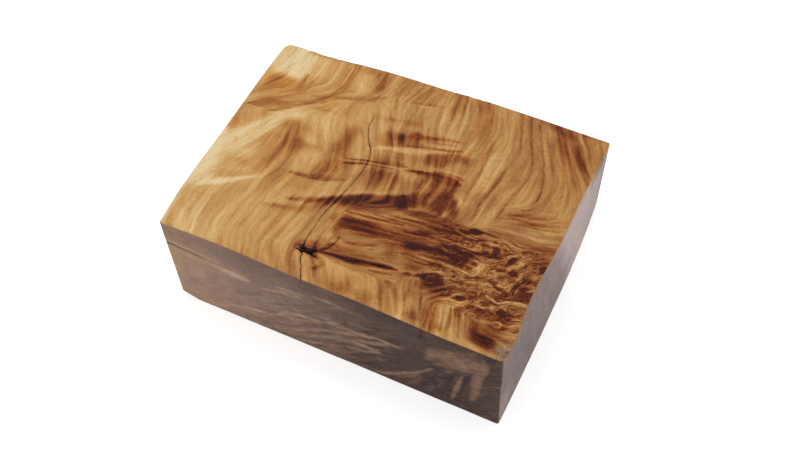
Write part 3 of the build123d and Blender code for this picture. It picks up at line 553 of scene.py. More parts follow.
# dark eyes of the burl: x, y, half length, half width, turn in degrees, tone
burlEyes = [
    (105.6, 23, 4.2, 2, 6, .16), (117.4, 19.4, 3.8, .9, 22, .17), (121.6, 21.4, 1.8, .7, 30, .24),
    (111.6, 48.3, 2.2, 1.1, 6, .16), (108.4, 46.9, 1.2, .7, 10, .20),
    (122, 43, 1.6, 2.1, -20, .18), (117.6, 44.2, 1.7, 1, 10, .23), (118.6, 41.2, 1.3, .8, 0, .20),
    (128.6, 41.5, 1.2, 2, -28, .18), (126, 36, 3.3, 1.4, 8, .17), (130.6, 36.6, 1.8, 1.1, 0, .20),
    (129, 28.4, 3, 1.2, -8, .17), (125.8, 30.3, 2.4, .5, 10, .28), (124.4, 24.8, 1.1, .9, 0, .21),
    (133.6, 19.4, 2.9, 1.7, -4, .15), (126.8, 21.2, 2, 1, 24, .22), (130.6, 24, 1.5, .45, 8, .28),
    (128.2, 25.6, .8, .5, -20, .26), (137.6, 32.2, 2.8, .9, 14, .21),
    (133.2, 47.6, 1.5, .7, 20, .24), (131.4, 46.6, .8, .5, 0, .27), (140.2, 42, .8, 1.7, 0, .22),
    (140.4, 35, .7, 1.2, 0, .27), (134, 14.4, 2.3, .9, 8, .23), (115.8, 25.7, .8, .5, 30, .28),
    (118.4, 25.4, .8, .6, -20, .27), (114, 26.6, .6, .5, 0, .30), (121.4, 25.4, .7, .5, 20, .30),
    (123, 46.4, .8, .6, 20, .28), (120.4, 46.8, .8, .6, 0, .29), (96.5, 21.4, 1.1, .6, 0, .26),
    (93, 33, 1.6, .5, 6, .18), (101.6, 33.4, 2, .6, 4, .18), (98.6, 43.6, 1.8, .7, 8, .20),
    (102.4, 44.6, 1.2, .5, 0, .24), (104, 41.8, 1.8, .5, 6, .24), (127.4, 33, 1.3, .5, 20, .28),
    (124.2, 33.6, 1.1, .6, -10, .26), (132.6, 33.4, 1.2, .5, 14, .28),
    (136.6, 27.6, 1.5, .5, 10, .29), (139.6, 27.8, 1, .5, 10, .28),
    (122.4, 17.4, 1.6, .6, 24, .26), (129.6, 18.2, 2, .8, -10, .22),
    (126, 16.6, 1.4, .5, 20, .29), (136.6, 17.6, 1.6, .8, 20, .22), (113.8, 22, 1.2, .4, 16, .31),
    (136.8, 22.6, 1.6, .5, 12, .30), (111, 42.2, 3, .5, 4, .24), (106.4, 41.6, 2.6, .5, 6, .24),
    (115, 42.2, 1.6, .5, 0, .26), (124.8, 44.8, 1, .8, 0, .25), (113.4, 37.7, 2.4, .6, 0, .18),
    (107, 38.4, 3, .7, -3, .17), (111, 35.6, 4.4, .8, -3, .17), (115.4, 32.6, 2.6, 1, 0, .17),
    (116.6, 35, 1.6, 1, 0, .19), (109.6, 33.6, 1.6, .5, 4, .22), (104.6, 29.4, 2.6, .4, 4, .24),
    (109, 29.6, 2, .3, 4, .27),
]
# which way the fibres run: x, y, degrees from the length of the block
grainWays = [
    (2, 104, 92), (9, 98, 90), (18, 100, 90), (17, 90, 74), (14.5, 84, 48), (10, 81, 30),
    (4, 88, 60), (25, 100, 90), (33, 101, 91), (33.2, 92, 76), (30, 88, 48), (25, 85, 30),
    (18, 82, 32), (9, 76, 28), (3, 72, 40), (42, 104, 94), (41, 97, 112), (50, 104, 89),
    (49, 97, 74), (46, 93, 42), (40, 90.4, 22), (35, 88.5, 28), (27, 86, 32), (43, 87, 95),
    (38, 83, 78), (44, 80, 108), (37, 76, 112), (45, 75, 118), (20, 78, 27), (26, 80, 32),
    (13, 73, 18), (30, 79, 30), (28, 74, 100), (5, 66, 105), (10, 67, 112), (14, 60, 62),
    (10, 54, 60), (18, 66, 66), (22, 60, 92), (28, 70, 112), (38, 70, 118), (46, 58, 114),
    (30, 60, 95), (31, 52, 96), (24, 50, 82), (37, 54, 95), (44, 52, 84), (4, 46, 55),
    (10, 42, 66), (20, 42, 78), (30, 43, 76), (38, 43, 76), (46, 42, 74), (4, 32, 60),
    (4, 20, 82), (12, 32, 80), (22, 32, 84), (32, 32, 84), (42, 30, 82), (52, 30, 85),
    (10, 20, 88), (20, 20, 86), (32, 20, 86), (42, 20, 84), (52, 22, 86), (8, 9, 112),
    (20, 8, 112), (32, 8, 114), (45, 8, 118), (60, 9, 120), (70, 8, 120), (85, 8, 118),
    (97, 10, 112), (104, 11, 110), (115, 10, 106), (121, 11, 110), (127, 11, 112), (131, 7, 174),
    (136, 8, 168), (134, 4, 172), (60, 34, 87), (60, 26, 88), (60, 44, 85), (60, 54, 86),
    (54, 50, 84), (66, 52, 96), (70, 58, 100), (76, 56, 96), (66, 58, 102), (80, 51, 116),
    (85, 51, 116), (88, 58, 84), (92, 56, 84), (62, 59, 108), (56, 60, 106), (50, 62, 106),
    (47, 67, 112), (56, 72, 118), (60, 69, 112), (66, 72, 116), (71, 72, 116), (75, 73, 116),
    (79, 70, 108), (85, 72, 104), (90, 67, 100), (62, 79, 118), (68, 79, 106), (73, 78, 102),
    (80, 80, 106), (53, 82, 112), (58, 85, 112), (66, 86, 92), (72, 87, 112), (77, 84, 112),
    (95, 75, 95), (97, 64, 90), (101, 70, 90), (101, 60, 88), (101, 51, 84), (57, 105, 86),
    (62, 100, 70), (67, 103, 74), (72, 101, 88), (77, 103, 91), (83, 105, 100), (90, 104, 114),
    (95, 100, 104), (98, 92, 90), (97, 86, 80), (96, 81, 82), (85, 92, 94), (80, 96, 93),
    (70, 94, 98), (61, 93, 104), (57, 92, 108), (52, 90, 108), (99, 105, 114), (103, 98, 108),
    (104, 88, 92), (103, 78, 90), (108, 104, 112), (112, 93, 107), (113.3, 84, 88),
    (111.5, 74, 80), (109, 60, 84), (114, 100, 114), (118, 91, 112), (121, 80, 90), (119, 70, 78),
    (116.8, 58, 82), (117, 101, 116), (122, 92, 115), (126, 81, 106), (127.6, 72, 90),
    (125.6, 66, 56), (126, 103, 120), (131, 94, 120), (137, 83, 114), (139, 74, 98),
    (131, 74, 92), (134, 67, 80), (133, 99, 124), (138, 91, 126), (138, 103, 116), (141, 97, 112),
    (106, 54, 88), (112, 54, 86), (120, 60, 20), (130, 61, 12), (138, 62, 18), (134, 55, 5),
    (124, 55, 8), (118, 52, 10), (130, 50, 0), (138, 48, 20), (66, 34, 20), (75, 34, 8),
    (85, 36, 9), (95, 37, 8), (105, 37, 4), (113, 37, 2), (70, 39, 8), (80, 41, 9), (90, 43, 9),
    (100, 44, 10), (110, 44, 12), (105, 47, 0), (115, 49, 0), (88, 47, 12), (78, 44, 30),
    (70, 25, 12), (78, 27, 14), (86, 28, 18), (94, 30, 12), (104, 30, 10), (112, 31, 12),
    (70, 20, 8), (80, 21, 12), (90, 23, 12), (99, 24, 14), (118, 43, 24), (122, 46, 10),
    (126, 48, -14), (121, 38, 6), (126, 40, 60), (120, 34, 90), (122, 28, 20), (126, 26, -24),
    (130, 31, 14), (133, 30, 70), (134, 37, 66), (132, 43, 70), (138, 44, 20), (138, 38, 30),
    (138, 33, 18), (138, 28, 14), (131, 21, 6), (137, 23, 16), (124, 19, 24), (114, 19, 24),
    (136, 16, 14), (128, 14, 16), (108, 18, 40), (100, 17, 95), (106, 31, 2), (114, 31, 4),
    (116, 35, -4), (108, 26, 4), (114, 24, 20), (118, 27, 20),
]


def smooth(a, b, x):  # a soft step from 0 at a to 1 at b
    t = np.clip((x - a) / (b - a), 0, 1)
    return t * t * (3 - 2 * t)


def distances(path):  # how far along the line each of its points lies
    return np.r_[0, np.cumsum(np.hypot(*np.diff(path[:, :2], axis=0).T))]


def waysOf(path):  # unit steps along the line, and the same turned to its left
    along = np.gradient(path[:, :2], axis=0)
    along /= np.hypot(along[:, 0], along[:, 1])[:, None]
    return along, np.stack([-along[:, 1], along[:, 0]], 1)


def curve(points, step=1.5):  # a smooth line through given points
    p = np.array(points, float)
    if len(p) == 2:
        return p
    t = distances(p)
    q = np.r_[[2 * p[0] - p[1]], p, [2 * p[-1] - p[-2]]]
    rows = []
    for i in range(len(p) - 1):
        n = max(2, int((t[i + 1] - t[i]) / step) + 1)
        u = np.linspace(0, 1, n, endpoint=False)[:, None]
        a, b, c, d = q[i:i + 4]
        bend, twist = 2 * a - 5 * b + 4 * c - d, 3 * b - a - 3 * c + d
        rows.append(.5 * (2 * b + (c - a) * u + bend * u ** 2 + twist * u ** 3))
    return np.vstack(rows + [p[-1:]])


def nearPath(x, y, path, reach):
    low, high = path[:, :2].min(axis=0) - reach, path[:, :2].max(axis=0) + reach
    return (x > low[0]) & (x < high[0]) & (y > low[1]) & (y < high[1])


# distance to the line, the side of it (left is positive), and the line's third value there
def alongPath(x, y, path):
    best = np.full(x.shape, 1e9)
    side, value = np.zeros(x.shape), np.zeros(x.shape)
    for a, b in zip(path[:-1], path[1:]):
        ex, ey = b[0] - a[0], b[1] - a[1]
        t = np.clip(((x - a[0]) * ex + (y - a[1]) * ey) / max(ex * ex + ey * ey, 1e-9), 0, 1)
        dx, dy = x - a[0] - t * ex, y - a[1] - t * ey
        d = dx * dx + dy * dy
        m = d < best
        best[m] = d[m]
        side[m] = np.sign(ex * dy - ey * dx)[m]
        if len(a) > 2:
            value[m] = (a[2] + (b[2] - a[2]) * t)[m]
    return np.sqrt(best), side, value


def valueNoise(x, y, size, seed):  # smooth random values, about -1 to 1
    grid = np.random.default_rng(seed).uniform(-1, 1, (256, 256))
    u, v = x / size, y / size
    i, j = np.floor(u).astype(int), np.floor(v).astype(int)
    fu, fv = u - i, v - j
    fu, fv = fu * fu * (3 - 2 * fu), fv * fv * (3 - 2 * fv)
    low, high = [grid[i % 256, k % 256] * (1 - fu) + grid[(i + 1) % 256, k % 256] * fu
                 for k in (j, j + 1)]
    return low * (1 - fv) + high * fv


def flowNoise(angle, spacing, reach, thickness, seed):  # random streaks drawn out along the fibres
    h, w = angle.shape
    noise = np.random.default_rng(seed).standard_normal((h, w))
    k = max(1, int(round(thickness / spacing)))
    if k > 1:
        kern = np.hanning(2 * k + 1)[1:-1]
        kern /= np.sqrt((kern ** 2).sum())
        for axis in (0, 1):
            noise = np.apply_along_axis(lambda row: np.convolve(row, kern, "same"), axis, noise)
    ux, uy = np.cos(angle), np.sin(angle)
    total = noise.copy()
    steps = int(reach / spacing)
    for sign in (1, -1):
        px, py = np.meshgrid(np.arange(w, dtype=float), np.arange(h, dtype=float))
        lx, ly = ux * sign, uy * sign
        for n in range(steps):
            px, py = np.clip(px + lx, 0, w - 1.001), np.clip(py + ly, 0, h - 1.001)
            i, j = py.astype(int), px.astype(int)
            nx, ny = ux[i, j], uy[i, j]
            flip = np.where(nx * lx + ny * ly < 0, -1, 1)
            lx, ly = nx * flip, ny * flip
            total += noise[i, j] * (1 - n / steps)
    return 1.8 * np.tanh(total / total.std() / 1.8)  # keeps the rare strong streaks within bounds


def sampleField(field, x, y, spacing, start):
    h, w = field.shape
    u = np.clip((x - start) / spacing, 0, w - 1.001)
    v = np.clip((y - start) / spacing, 0, h - 1.001)
    i, j = v.astype(int), u.astype(int)
    fu, fv = u - j, v - i
    low, high = [field[k, j] * (1 - fu) + field[k, j + 1] * fu for k in (i, i + 1)]
    return low * (1 - fv) + high * fv


def turned(dx, dy, degrees):  # the same place along and across a line turned by that angle
    c, s = np.cos(np.radians(degrees)), np.sin(np.radians(degrees))
    return dx * c + dy * s, dy * c - dx * s


def blend(values, m, target, share):
    values[m] += (target - values[m]) * share


# second: the warmth on the top, the tan share on a side
def paintPatches(x, y, patches, tone, second, wobble):
    for patch in patches:
        px, py, a, b, t, s, cover, hard, turn = patch + usualPatch[len(patch) - 6:]
        m = (np.abs(x - px) < 2.2 * max(a, b)) & (np.abs(y - py) < 2.2 * max(a, b))
        along, across = turned(x[m] - px, y[m] - py, turn)
        r2 = ((along / a) ** 2 + (across / b) ** 2) * np.exp(wobble[m] * .35)
        share = cover * np.exp(-r2 ** hard * .8)
        blend(tone, m, t, share)
        blend(second, m, s, share)


def paintBands(x, y, bands, tone, second, rough, leastSoft):
    for points, t, s, softL, softR, cover in bands:
        path = curve(points)
        m = nearPath(x, y, path, max(p[2] for p in points) + max(softL, softR) * 2 + .5)
        d, side, width = alongPath(x[m], y[m], path)
        soft = np.maximum(np.where(side > 0, softL, softR), leastSoft)
        share = cover * smooth(soft * .75, -soft * .75, d + soft * rough[m] - width)
        share *= smooth(-.05, .35, width)  # a band that narrows to nothing also fades
        blend(tone, m, t, share)
        blend(second, m, s, share)


topFigure = {
    "spacing": .35, "start": -4., "ends": (148, 118),  # the grid that the streaks are drawn on, mm
    # fine, wide and broad ones: reach, thickness, seed
    "streaks": ((5, .35, 11), (16, 1.1, 12), (14, 2.6, 13)),
    "burlStray": .34, "curl": .75,  # how far the fibres stray in the burl, and curl round an eye
    "tone": .57, "leftPaler": .07, "rightDarker": .06,
    "eyeDepth": .95, "eyeCalm": .8,  # inside an eye the streaks all but end
    "ringDepth": .95, "ringShade": .36, "ringShadeWidth": 3, "ringFade": 5,
    "fine": .028, "wide": .033, "broad": .024,  # depth of the streaks
    "burlWide": .045, "burlFine": .034, "burlBroad": .014,  # and what is added to it in the burl
    # in the burl dark streaks are stronger than pale ones
    "darkWide": 1.25, "paleWide": .8, "darkFine": 1.2, "paleFine": .9,
    "darkBelow": .62, "darkWithin": .3, "stripDeeper": .35,  # where the streaks show most
    "smoke": (80, 48, 22, 17), "smokeDarker": .035,  # middle, reach along and across
    "leftBrighter": .02, "leftWarmer": .08,
    "toneRange": (.08, .9),
}


def grainDirection(x, y):  # the listed ways of the fibres, blended by distance
    c, s = np.zeros(x.shape), np.zeros(x.shape)
    for gx, gy, degrees in grainWays:
        share = 1 / ((x - gx) ** 2 + (y - gy) ** 2 + 1.5) ** 2
        c += share * np.cos(np.radians(degrees) * 2)
        s += share * np.sin(np.radians(degrees) * 2)
    return np.arctan2(s, c) / 2


def burlShare(x, y):  # 1 inside the burl
    high = 47.5 + 1.6 * np.sin(x / 5) - smooth(104, 96, x) * 4
    low = 15 + 2 * np.sin(x / 4) + smooth(120, 100, x) * 5
    left = smooth(94, 112, x + (y - 33) * .2)
    return left * smooth(high + 1.5, high - 1.5, y) * smooth(low - 4, low + 3, y)


# fine, wide and broad streaks, and twice the fibres' angle as cosine and sine
def drawStreaks(x, y):
    spacing, start = topFigure["spacing"], topFigure["start"]
    gx, gy = np.meshgrid(*[np.arange(start, end, spacing) for end in topFigure["ends"]])
    angle = grainDirection(gx, gy)
    for ex, ey, a, b, *_ in burlEyes:
        reach = 1.1 * max(a, b) + .7
        share = topFigure["curl"] * np.exp(-(np.hypot(gx - ex, gy - ey) / reach) ** 2)
        tangent = np.arctan2(gy - ey, gx - ex) + np.pi / 2
        c, s = [(1 - share) * f(2 * angle) + share * f(2 * tangent) for f in (np.cos, np.sin)]
        angle = np.arctan2(s, c) / 2
    burlStray = topFigure["burlStray"] * burlShare(gx, gy)
    for stray, size, seed in ((burlStray, 4, 5), (.10, 6, 6), (.16, 2, 7)):
        angle = angle + stray * valueNoise(gx, gy, size, seed)
    fields = [flowNoise(angle, spacing, *streak) for streak in topFigure["streaks"]]
    fields += [np.cos(2 * angle), np.sin(2 * angle)]
    return [sampleField(field, x, y, spacing, start) for field in fields]


def paintEyes(x, y, tone, fine, wide):  # gives how calm the streaks are: nearly still in an eye
    calm = np.ones(x.shape)
    for ex, ey, a, b, turn, t in burlEyes:
        m = (np.abs(x - ex) < 3 * a + 2) & (np.abs(y - ey) < 3 * a + 2)
        along, across = turned(x[m] - ex, y[m] - ey, turn)
        rough = .34 * valueNoise(x[m], y[m], 1.1, 31) + .24 * wide[m] + .14 * fine[m]
        core = smooth(1.5, .6, np.hypot(along / a, across / b) + rough) * topFigure["eyeDepth"]
        blend(tone, m, t, core)
        calm[m] *= 1 - topFigure["eyeCalm"] * core
    return calm


def ringLines(x, y, wide):
    line = np.zeros(x.shape)
    ripple = .26 * valueNoise(x, y, 1.5, 41)
    for points, step, halfWidth, soft in woodRings:
        path = curve(points)
        m = nearPath(x, y, path, max(halfWidth + soft * 3, topFigure["ringShadeWidth"]))
        d, side, _ = alongPath(x[m] + ripple[m], y[m], path)
        fromEnd = np.hypot(x[m] - path[-1, 0], y[m] - path[-1, 1])
        ends = smooth(-.5, topFigure["ringFade"], fromEnd)
        step *= .9 + .25 * wide[m]
        sharp = smooth(soft * .7, -soft * .7, d - halfWidth * .7)
        line[m] += topFigure["ringDepth"] * step * sharp * ends
        # the late wood darkens slowly towards each line of the right half, and stops there
        shade = smooth(topFigure["ringShadeWidth"], 0, d) * (side < 0) * smooth(96, 104, x[m])
        line[m] += topFigure["ringShade"] * step * shade * ends
    return line


def paintTop(x, y):
    look = topFigure
    fine, wide, broad, turnCos, turnSin = drawStreaks(x, y)
    burl = burlShare(x, y)
    warm = np.zeros(x.shape)
    tone = look["tone"] + look["leftPaler"] * smooth(60, 0, x)
    tone -= look["rightDarker"] * smooth(100, 142, x)
    paintPatches(x, y, woodPatches, tone, warm, valueNoise(x, y, 5, 21) * .5 + wide * .18)
    paintBands(x, y, woodBands, tone, warm, .10 * fine, 0)
    calm = paintEyes(x, y, tone, fine, wide)
    tone += ringLines(x, y, wide)
    # the smoke lies a little darker, the left half a little brighter
    sx, sy, a, b = look["smoke"]
    tone -= look["smokeDarker"] * np.exp(-((x - sx) / a) ** 2 - ((y - sy) / b) ** 2)
    tone += look["leftBrighter"] * smooth(55, 25, x) * smooth(85, 65, y)
    warm += look["leftWarmer"] * smooth(60, 30, x)
    # streaks show most in dark wood and in the strip along the front edge
    dark = np.clip((look["darkBelow"] - tone) / look["darkWithin"], 0, 1)
    strip = smooth(19, 15, y - .06 * (x - 60)) * smooth(48, 56, x)
    streaks = fine * look["fine"] + wide * look["wide"] + broad * look["broad"]
    tone += streaks * (1 + dark + look["stripDeeper"] * strip) * calm
    streaks = wide * np.where(wide < 0, look["darkWide"], look["paleWide"]) * look["burlWide"]
    streaks += fine * np.where(fine < 0, look["darkFine"], look["paleFine"]) * look["burlFine"]
    tone += burl * (streaks + broad * look["burlBroad"]) * calm
    tone, warm = np.clip(tone, *look["toneRange"]), np.clip(warm, -1, 1)
    return tone, warm, burl * calm, fine, turnCos, turnSin


# bands of the front side: (along, up, half width) points from the left and the underside, tone,
# tan share, softness left and right of the path, cover
frontBands = [
    # the shake's pale lips, and streaks beside it
    ([(2, 33.5, .7), (10, 33.2, .7), (20, 32.5, .6), (28, 31.9, .3)], .52, .5, .7, .5, .9),
    ([(2, 30.2, .9), (8, 29.6, 1), (15, 29, 1.1), (22, 28.7, 1.2),
      (28, 28.6, 1.2)], .50, .6, 1, .7, .9),
    ([(24, 28.6, .4), (30, 28.5, 1.5), (36, 28.3, 1.5), (39, 28, .5)], .56, .6, 1, .8, .85),
    ([(2, 26.4, .4), (8, 26.6, .5), (14, 26.2, .3)], .48, .4, 1, 1, .6),
    ([(44, 26.8, .2), (47.6, 27.8, .6), (51, 29.2, .6), (55, 30.2, .5), (59, 30.8, .4),
      (63, 31.8, .2)], .52, .6, .5, .5, .9),
    ([(47, 29.4, .2), (51, 31.6, .4), (55, 32.4, .7), (59, 32.6, .6),
      (63, 33.2, .2)], .50, .6, .5, .6, .9),
    ([(52, 29, .1), (57, 29.4, .3), (62, 30, .3), (66, 31.4, .1)], .48, .5, .4, .4, .8),
    ([(64, 34.4, .2), (68.6, 35.4, .4), (72, 35.6, .6), (76, 35.9, .5), (80, 35, .3),
      (86, 35, .3), (91, 34.6, .1)], .50, .5, .4, .5, .85),
    ([(72, 31.6, .2), (75, 33.4, .5), (79, 34.6, .4)], .44, .5, .8, .8, .7),
    # flames that rise to the right
    ([(13, 2.6, .6), (18, 2.8, 1), (24, 3.8, 1.2), (28, 6, .5)], .52, .7, 1.6, .8, .85),
    ([(26.6, 6.4, .2), (31, 7.4, .6), (35, 8.8, .7), (39, 9.9, .7), (43, 10.5, .5),
      (47.6, 11.5, .2)], .53, .5, .5, .5, .95),
    ([(29, 4.4, .2), (35, 6.6, .5), (41, 8, .5), (46, 9.2, .3),
      (51, 11, .2)], .47, .5, .5, .6, .85),
    ([(49, 12.8, .2), (52, 15.6, .7), (55, 17.2, .8), (59, 18.8, .7), (64, 19.9, .7),
      (70, 20.6, .2)], .49, .5, .6, .6, .95),
    ([(53, 13, .2), (58, 15.2, .6), (63, 17.6, .7), (68, 19.2, .3)], .46, .5, .6, .6, .85),
    ([(64.6, 18, .2), (67, 20, .8), (69.6, 20.2, .4)], .50, .7, .6, .6, .8),
    ([(60, 11.4, .3), (66, 14, .8), (71, 16.2, .8), (76, 18, .6),
      (81, 19, .2)], .44, .5, .7, .7, .9),
    ([(63, 8, .2), (69, 10.6, .8), (74, 13.4, .9), (79, 15, .9), (84, 16.3, .9), (89, 16.6, .6),
      (93, 17.6, .3)], .45, .5, .7, .7, .9),
    ([(84, 15.8, .3), (87, 16.4, .7), (90.6, 15.8, .5), (94, 16.6, .2)], .52, .6, .5, .5, .9),
    ([(79.6, 11, .3), (83.6, 12, .6), (87, 12.8, .5), (90.6, 14.8, .5),
      (93.6, 16.4, .3)], .47, .5, .5, .5, .9),
    ([(71, 21.4, .3), (73.6, 22.6, 1.1), (76.4, 24, .8), (79, 23.6, .3)], .45, .7, .6, .7, .9),
    ([(76, 21.6, .3), (80, 22.6, .7), (85, 23, .9), (89, 23.6, .9), (93, 24.9, .6),
      (98, 24.7, .6), (104, 25.4, .2)], .50, .6, .6, .5, .95),
    ([(73, 18, .2), (77, 19.2, .6), (81, 20.4, .6), (85, 21.6, .3)], .46, .5, .5, .6, .9),
    ([(82, 17.6, .2), (86, 19, .7), (90, 20.2, 1), (93.6, 22, 1),
      (97, 23.8, .5)], .47, .7, .6, .8, .9),
    ([(43, 2.4, .2), (48, 4.2, .8), (53, 6, .8), (58, 8.6, .8), (63, 11, .6),
      (67, 13.6, .3)], .46, .5, .7, .7, .9),
    ([(47, 1.6, .3), (53, 3.6, .7), (59, 5.8, .8), (65, 8.4, .7),
      (70, 10.6, .3)], .43, .5, .6, .6, .85),
    ([(46, 7, .2), (52, 9.6, .5), (57, 12.4, .5), (61, 14.6, .2)], .44, .5, .5, .6, .8),
    ([(55, 1.4, .3), (61, 3, .7), (67, 5.2, .7), (73, 7.6, .6),
      (78, 10, .2)], .43, .5, .6, .6, .85),
    ([(63, 3.2, .2), (66.4, 5, .4), (69.6, 6.4, .2)], .52, .4, .4, .4, .8),
    ([(68, 1.6, .2), (74, 4, .5), (79, 7, .5), (83, 9.6, .4), (86, 12, .2)], .39, .4, .6, .6, .8),
    ([(91, 1.6, .3), (95.6, 3.6, .7), (100, 6.4, .8), (104, 9.6, .8), (108, 12.6, .6),
      (111, 15.8, .5), (115, 20.4, .3)], .46, .7, .5, .6, .95),
    ([(99, 4, .2), (103.6, 7, .5), (107, 9.6, .5), (110, 12.6, .2)], .42, .6, .5, .6, .85),
    ([(104, 2.4, .3), (107, 5, 1), (109.4, 8.6, .9), (110.6, 12, .3)], .34, .5, .9, .9, .8),
    ([(113, 2, .2), (114.4, 5.6, .5), (115.4, 9, .3)], .33, .4, .5, .5, .8),
    ([(116.4, 7, .1), (117.6, 10.4, .3), (119.4, 14.6, .1)], .44, .5, .3, .3, .8),
    ([(114, 17, .1), (117, 14.6, .3), (120, 11.6, .2)], .36, .3, .4, .4, .6),
    ([(118, 18, .2), (120.4, 21.4, .5), (123, 24, .4)], .33, .6, .6, .6, .8),
    ([(62, 43, .2), (61.4, 40.6, .2), (61.2, 38.6, .1)], .27, 0, .4, .4, .7),
    # dark strands between the flames
    ([(57, 16, .1), (63, 18.6, .3), (69, 19.4, .2)], .33, .1, .4, .4, .6),
    ([(72, 20, .2), (77, 21, .3), (84, 22.3, .2)], .33, .1, .4, .4, .7),
    ([(70, 14.6, .2), (76, 16.8, .3), (82, 17.6, .2)], .32, .1, .4, .4, .7),
    ([(60, 9, .2), (67, 12.4, .3), (73, 15, .2)], .31, .1, .4, .5, .7),
    ([(58, 3.4, .2), (64, 6, .3), (71, 9.4, .2)], .30, .1, .4, .5, .7),
    ([(80, 14, .2), (85, 14.6, .3), (89, 15, .2)], .31, .1, .4, .4, .6),
    ([(86, 25, .2), (90, 26.6, .6), (95, 26.8, .3)], .22, 0, .6, .6, .8),
    ([(49, 28.2, .1), (54, 29.4, .2), (60, 30.2, .1)], .33, .1, .4, .4, .6),
    # the burl at the right end
    ([(112.6, 26, .8), (114.6, 29.4, 2.6), (118, 31.4, 3.4), (122.6, 31.4, 4), (127, 31.4, 4),
      (130.6, 34, 3.4)], .405, .7, 1.8, 2, .85),
    ([(115, 23, .4), (119, 25.6, 1.6), (123.6, 27.4, 1.6)], .36, .7, 1.2, 1, .8),
    ([(119, 34.6, .4), (124, 36, .8), (128, 38.4, .8), (131, 40.6, .5)], .37, .7, 1, 1, .8),
    ([(130.6, 10, .8), (131.6, 14, 1.7), (132, 20, 1.9), (132.6, 26, 2), (134, 31, 2.2),
      (135.4, 35, 1.6), (134.4, 38.4, .8)], .365, .7, 1.2, 1.2, .9),
    ([(122.6, 4, .2), (123.4, 8, .8), (124.4, 13, 1), (125.6, 18, .9),
      (126.6, 23, .4)], .385, .8, .7, .7, .95),
    ([(126, 10, .2), (127, 16, .6), (128.4, 22, 1), (129.4, 25, .4)], .17, 0, .6, .6, .9),
    ([(120.6, 10, .3), (121.6, 16, .7), (123.4, 22, .3)], .19, 0, .6, .6, .85),
    ([(115, 17, .2), (118, 16, .7), (121, 19, .3)], .20, 0, .8, .8, .8),
    ([(134.6, 25, .2), (136.8, 31, .3), (138.6, 36, .2)], .17, 0, .5, .5, .8),
    ([(128, 33, .3), (130, 36, .7), (131.4, 38.4, .3)], .31, .5, .7, .7, .7),
    ([(110.9, 43, .2), (110.5, 39.6, .3), (110.2, 36.6, .1)], .13, 0, .3, .3, .9),
]
# soft patches of the front side: along, up, half length, half height, tone, tan share, then as on
# the top
frontPatches = [
    (15, 17, 24, 12, .46, .12, .9, 1.3), (8, 37, 14, 5, .43, .1, .7, 1.4),
    (40, 36, 16, 6, .39, 0, .8, 1.3), (42, 20, 14, 7, .42, .05, .8, 1.3),
    (60, 27, 14, 6, .38, 0, .7, 1.3), (69, 32, 5, 2, .35, 0), (75, 38, 14, 5, .34, .1, .8, 1.4),
    (95, 36, 14, 6, .31, 0, .8, 1.4), (100, 30, 10, 5, .28, 0, .8, 1.4),
    (104, 20, 9, 8, .27, 0, .85, 1.4), (84, 29, 9, 3.6, .32, .1),
    (60, 19, 7, 4, .36, .1, .5, 1.4, 20), (92, 31, 6, 3, .27, 0, .6, 1.4),
    (88, 8, 9, 4.4, .27, 0, .85, 1.5, 12), (62, 8, 16, 7, .34, .2, .6, 1.3, 22),
    (118, 14, 8, 12, .24, 0, .9), (136, 18, 6, 16, .23, .05, .9, 1.6), (128, 8, 9, 8, .22, 0, .9),
    (138.6, 34, 3, 10, .22, .1, .9, 1.8), (116, 41, 12, 2.6, .31, .8, .7, 1.4),
    (5, 20, 3, 10, .52, .9, .7, 1.4), (16.6, 20, 3.4, 6, .51, .6, .6, 1.4),
    (16, 5, 5, 4, .50, .5, .6, 1.4), (30, 37, 6, 3, .42, -.3, .6, 1.4),
    (22, 20, 3, 6, .44, -.2, .5, 1.4), (107, 11.4, 4, 3, .30, .2, .6, 1.4, 30),
    (79, 17, 8, 4, .37, .3, .5, 1.4, 20),
]
# soft patches of the right end, measured from the front: tone and tan share as before
rightPatches = [
    (10, 22, 12, 20, .42, 0, .8, 1.4), (24, 24, 10, 12, .41, -.3, .7, 1.3),
    (45, 22, 12, 16, .44, 0, .8, 1.4), (50, 10, 16, 8, .425, .1, .7, 1.4),
    (4, 9, 7, 7, .56, .3, .6, 1.4), (80, 15, 5, 13, .64, .5, .8, 1.3, 12),
    (96, 14, 6, 12, .57, 0, .6, 1.4, 12), (108, 24, 4.4, 24, .50, 0, .8, 1.6, 10),
    (97, 40, 8, 5, .39, .4, .85, 1.4), (60, 41.6, 22, 2, .54, .5, .6, 1.6),
    (26, 42, 12, 1.6, .42, .5, .6, 1.6), (8, 41.6, 8, 2, .46, .7, .7, 1.6),
]


sideFigure = {
    "frontTone": .47, "frontDarker": .20, "bandContrast": 1.2,
    # where a point that lies behind the flat face is seen on it: so far along and up for each mm
    "seenAlong": .559, "seenUp": 1.508,
    "mottle": ((.03, 2.6, 60), (.022, 1.2, 64)),  # of the right end: depth, size, seed
    "strand": .012, "strandInFlames": .028,
    # places, and the tones added there
    "slopes": ([0, 20, 60, 90, 110, 140], [.04, .03, .014, -.03, -.045, -.004]),
    "rightTone": .44, "rightSheen": .17, "hiddenTone": .46, "hiddenTan": .25,
    "toneRange": (.1, .8),
}


def cornerPlace(level, k):  # a corner of the top or the bottom, from front left anticlockwise
    inX, inY = cornerInsets[level][k]
    x = inX if k in (0, 3) else block["length"] - inX
    y = inY if k in (0, 1) else block["width"] - inY
    return np.array([x, y])


def frontLine(level, x):  # how far back the straight line between the two front corners lies
    (leftX, leftY), (rightX, rightY) = cornerPlace(level, 0), cornerPlace(level, 1)
    return leftY + (rightY - leftY) * (x - leftX) / (rightX - leftX)


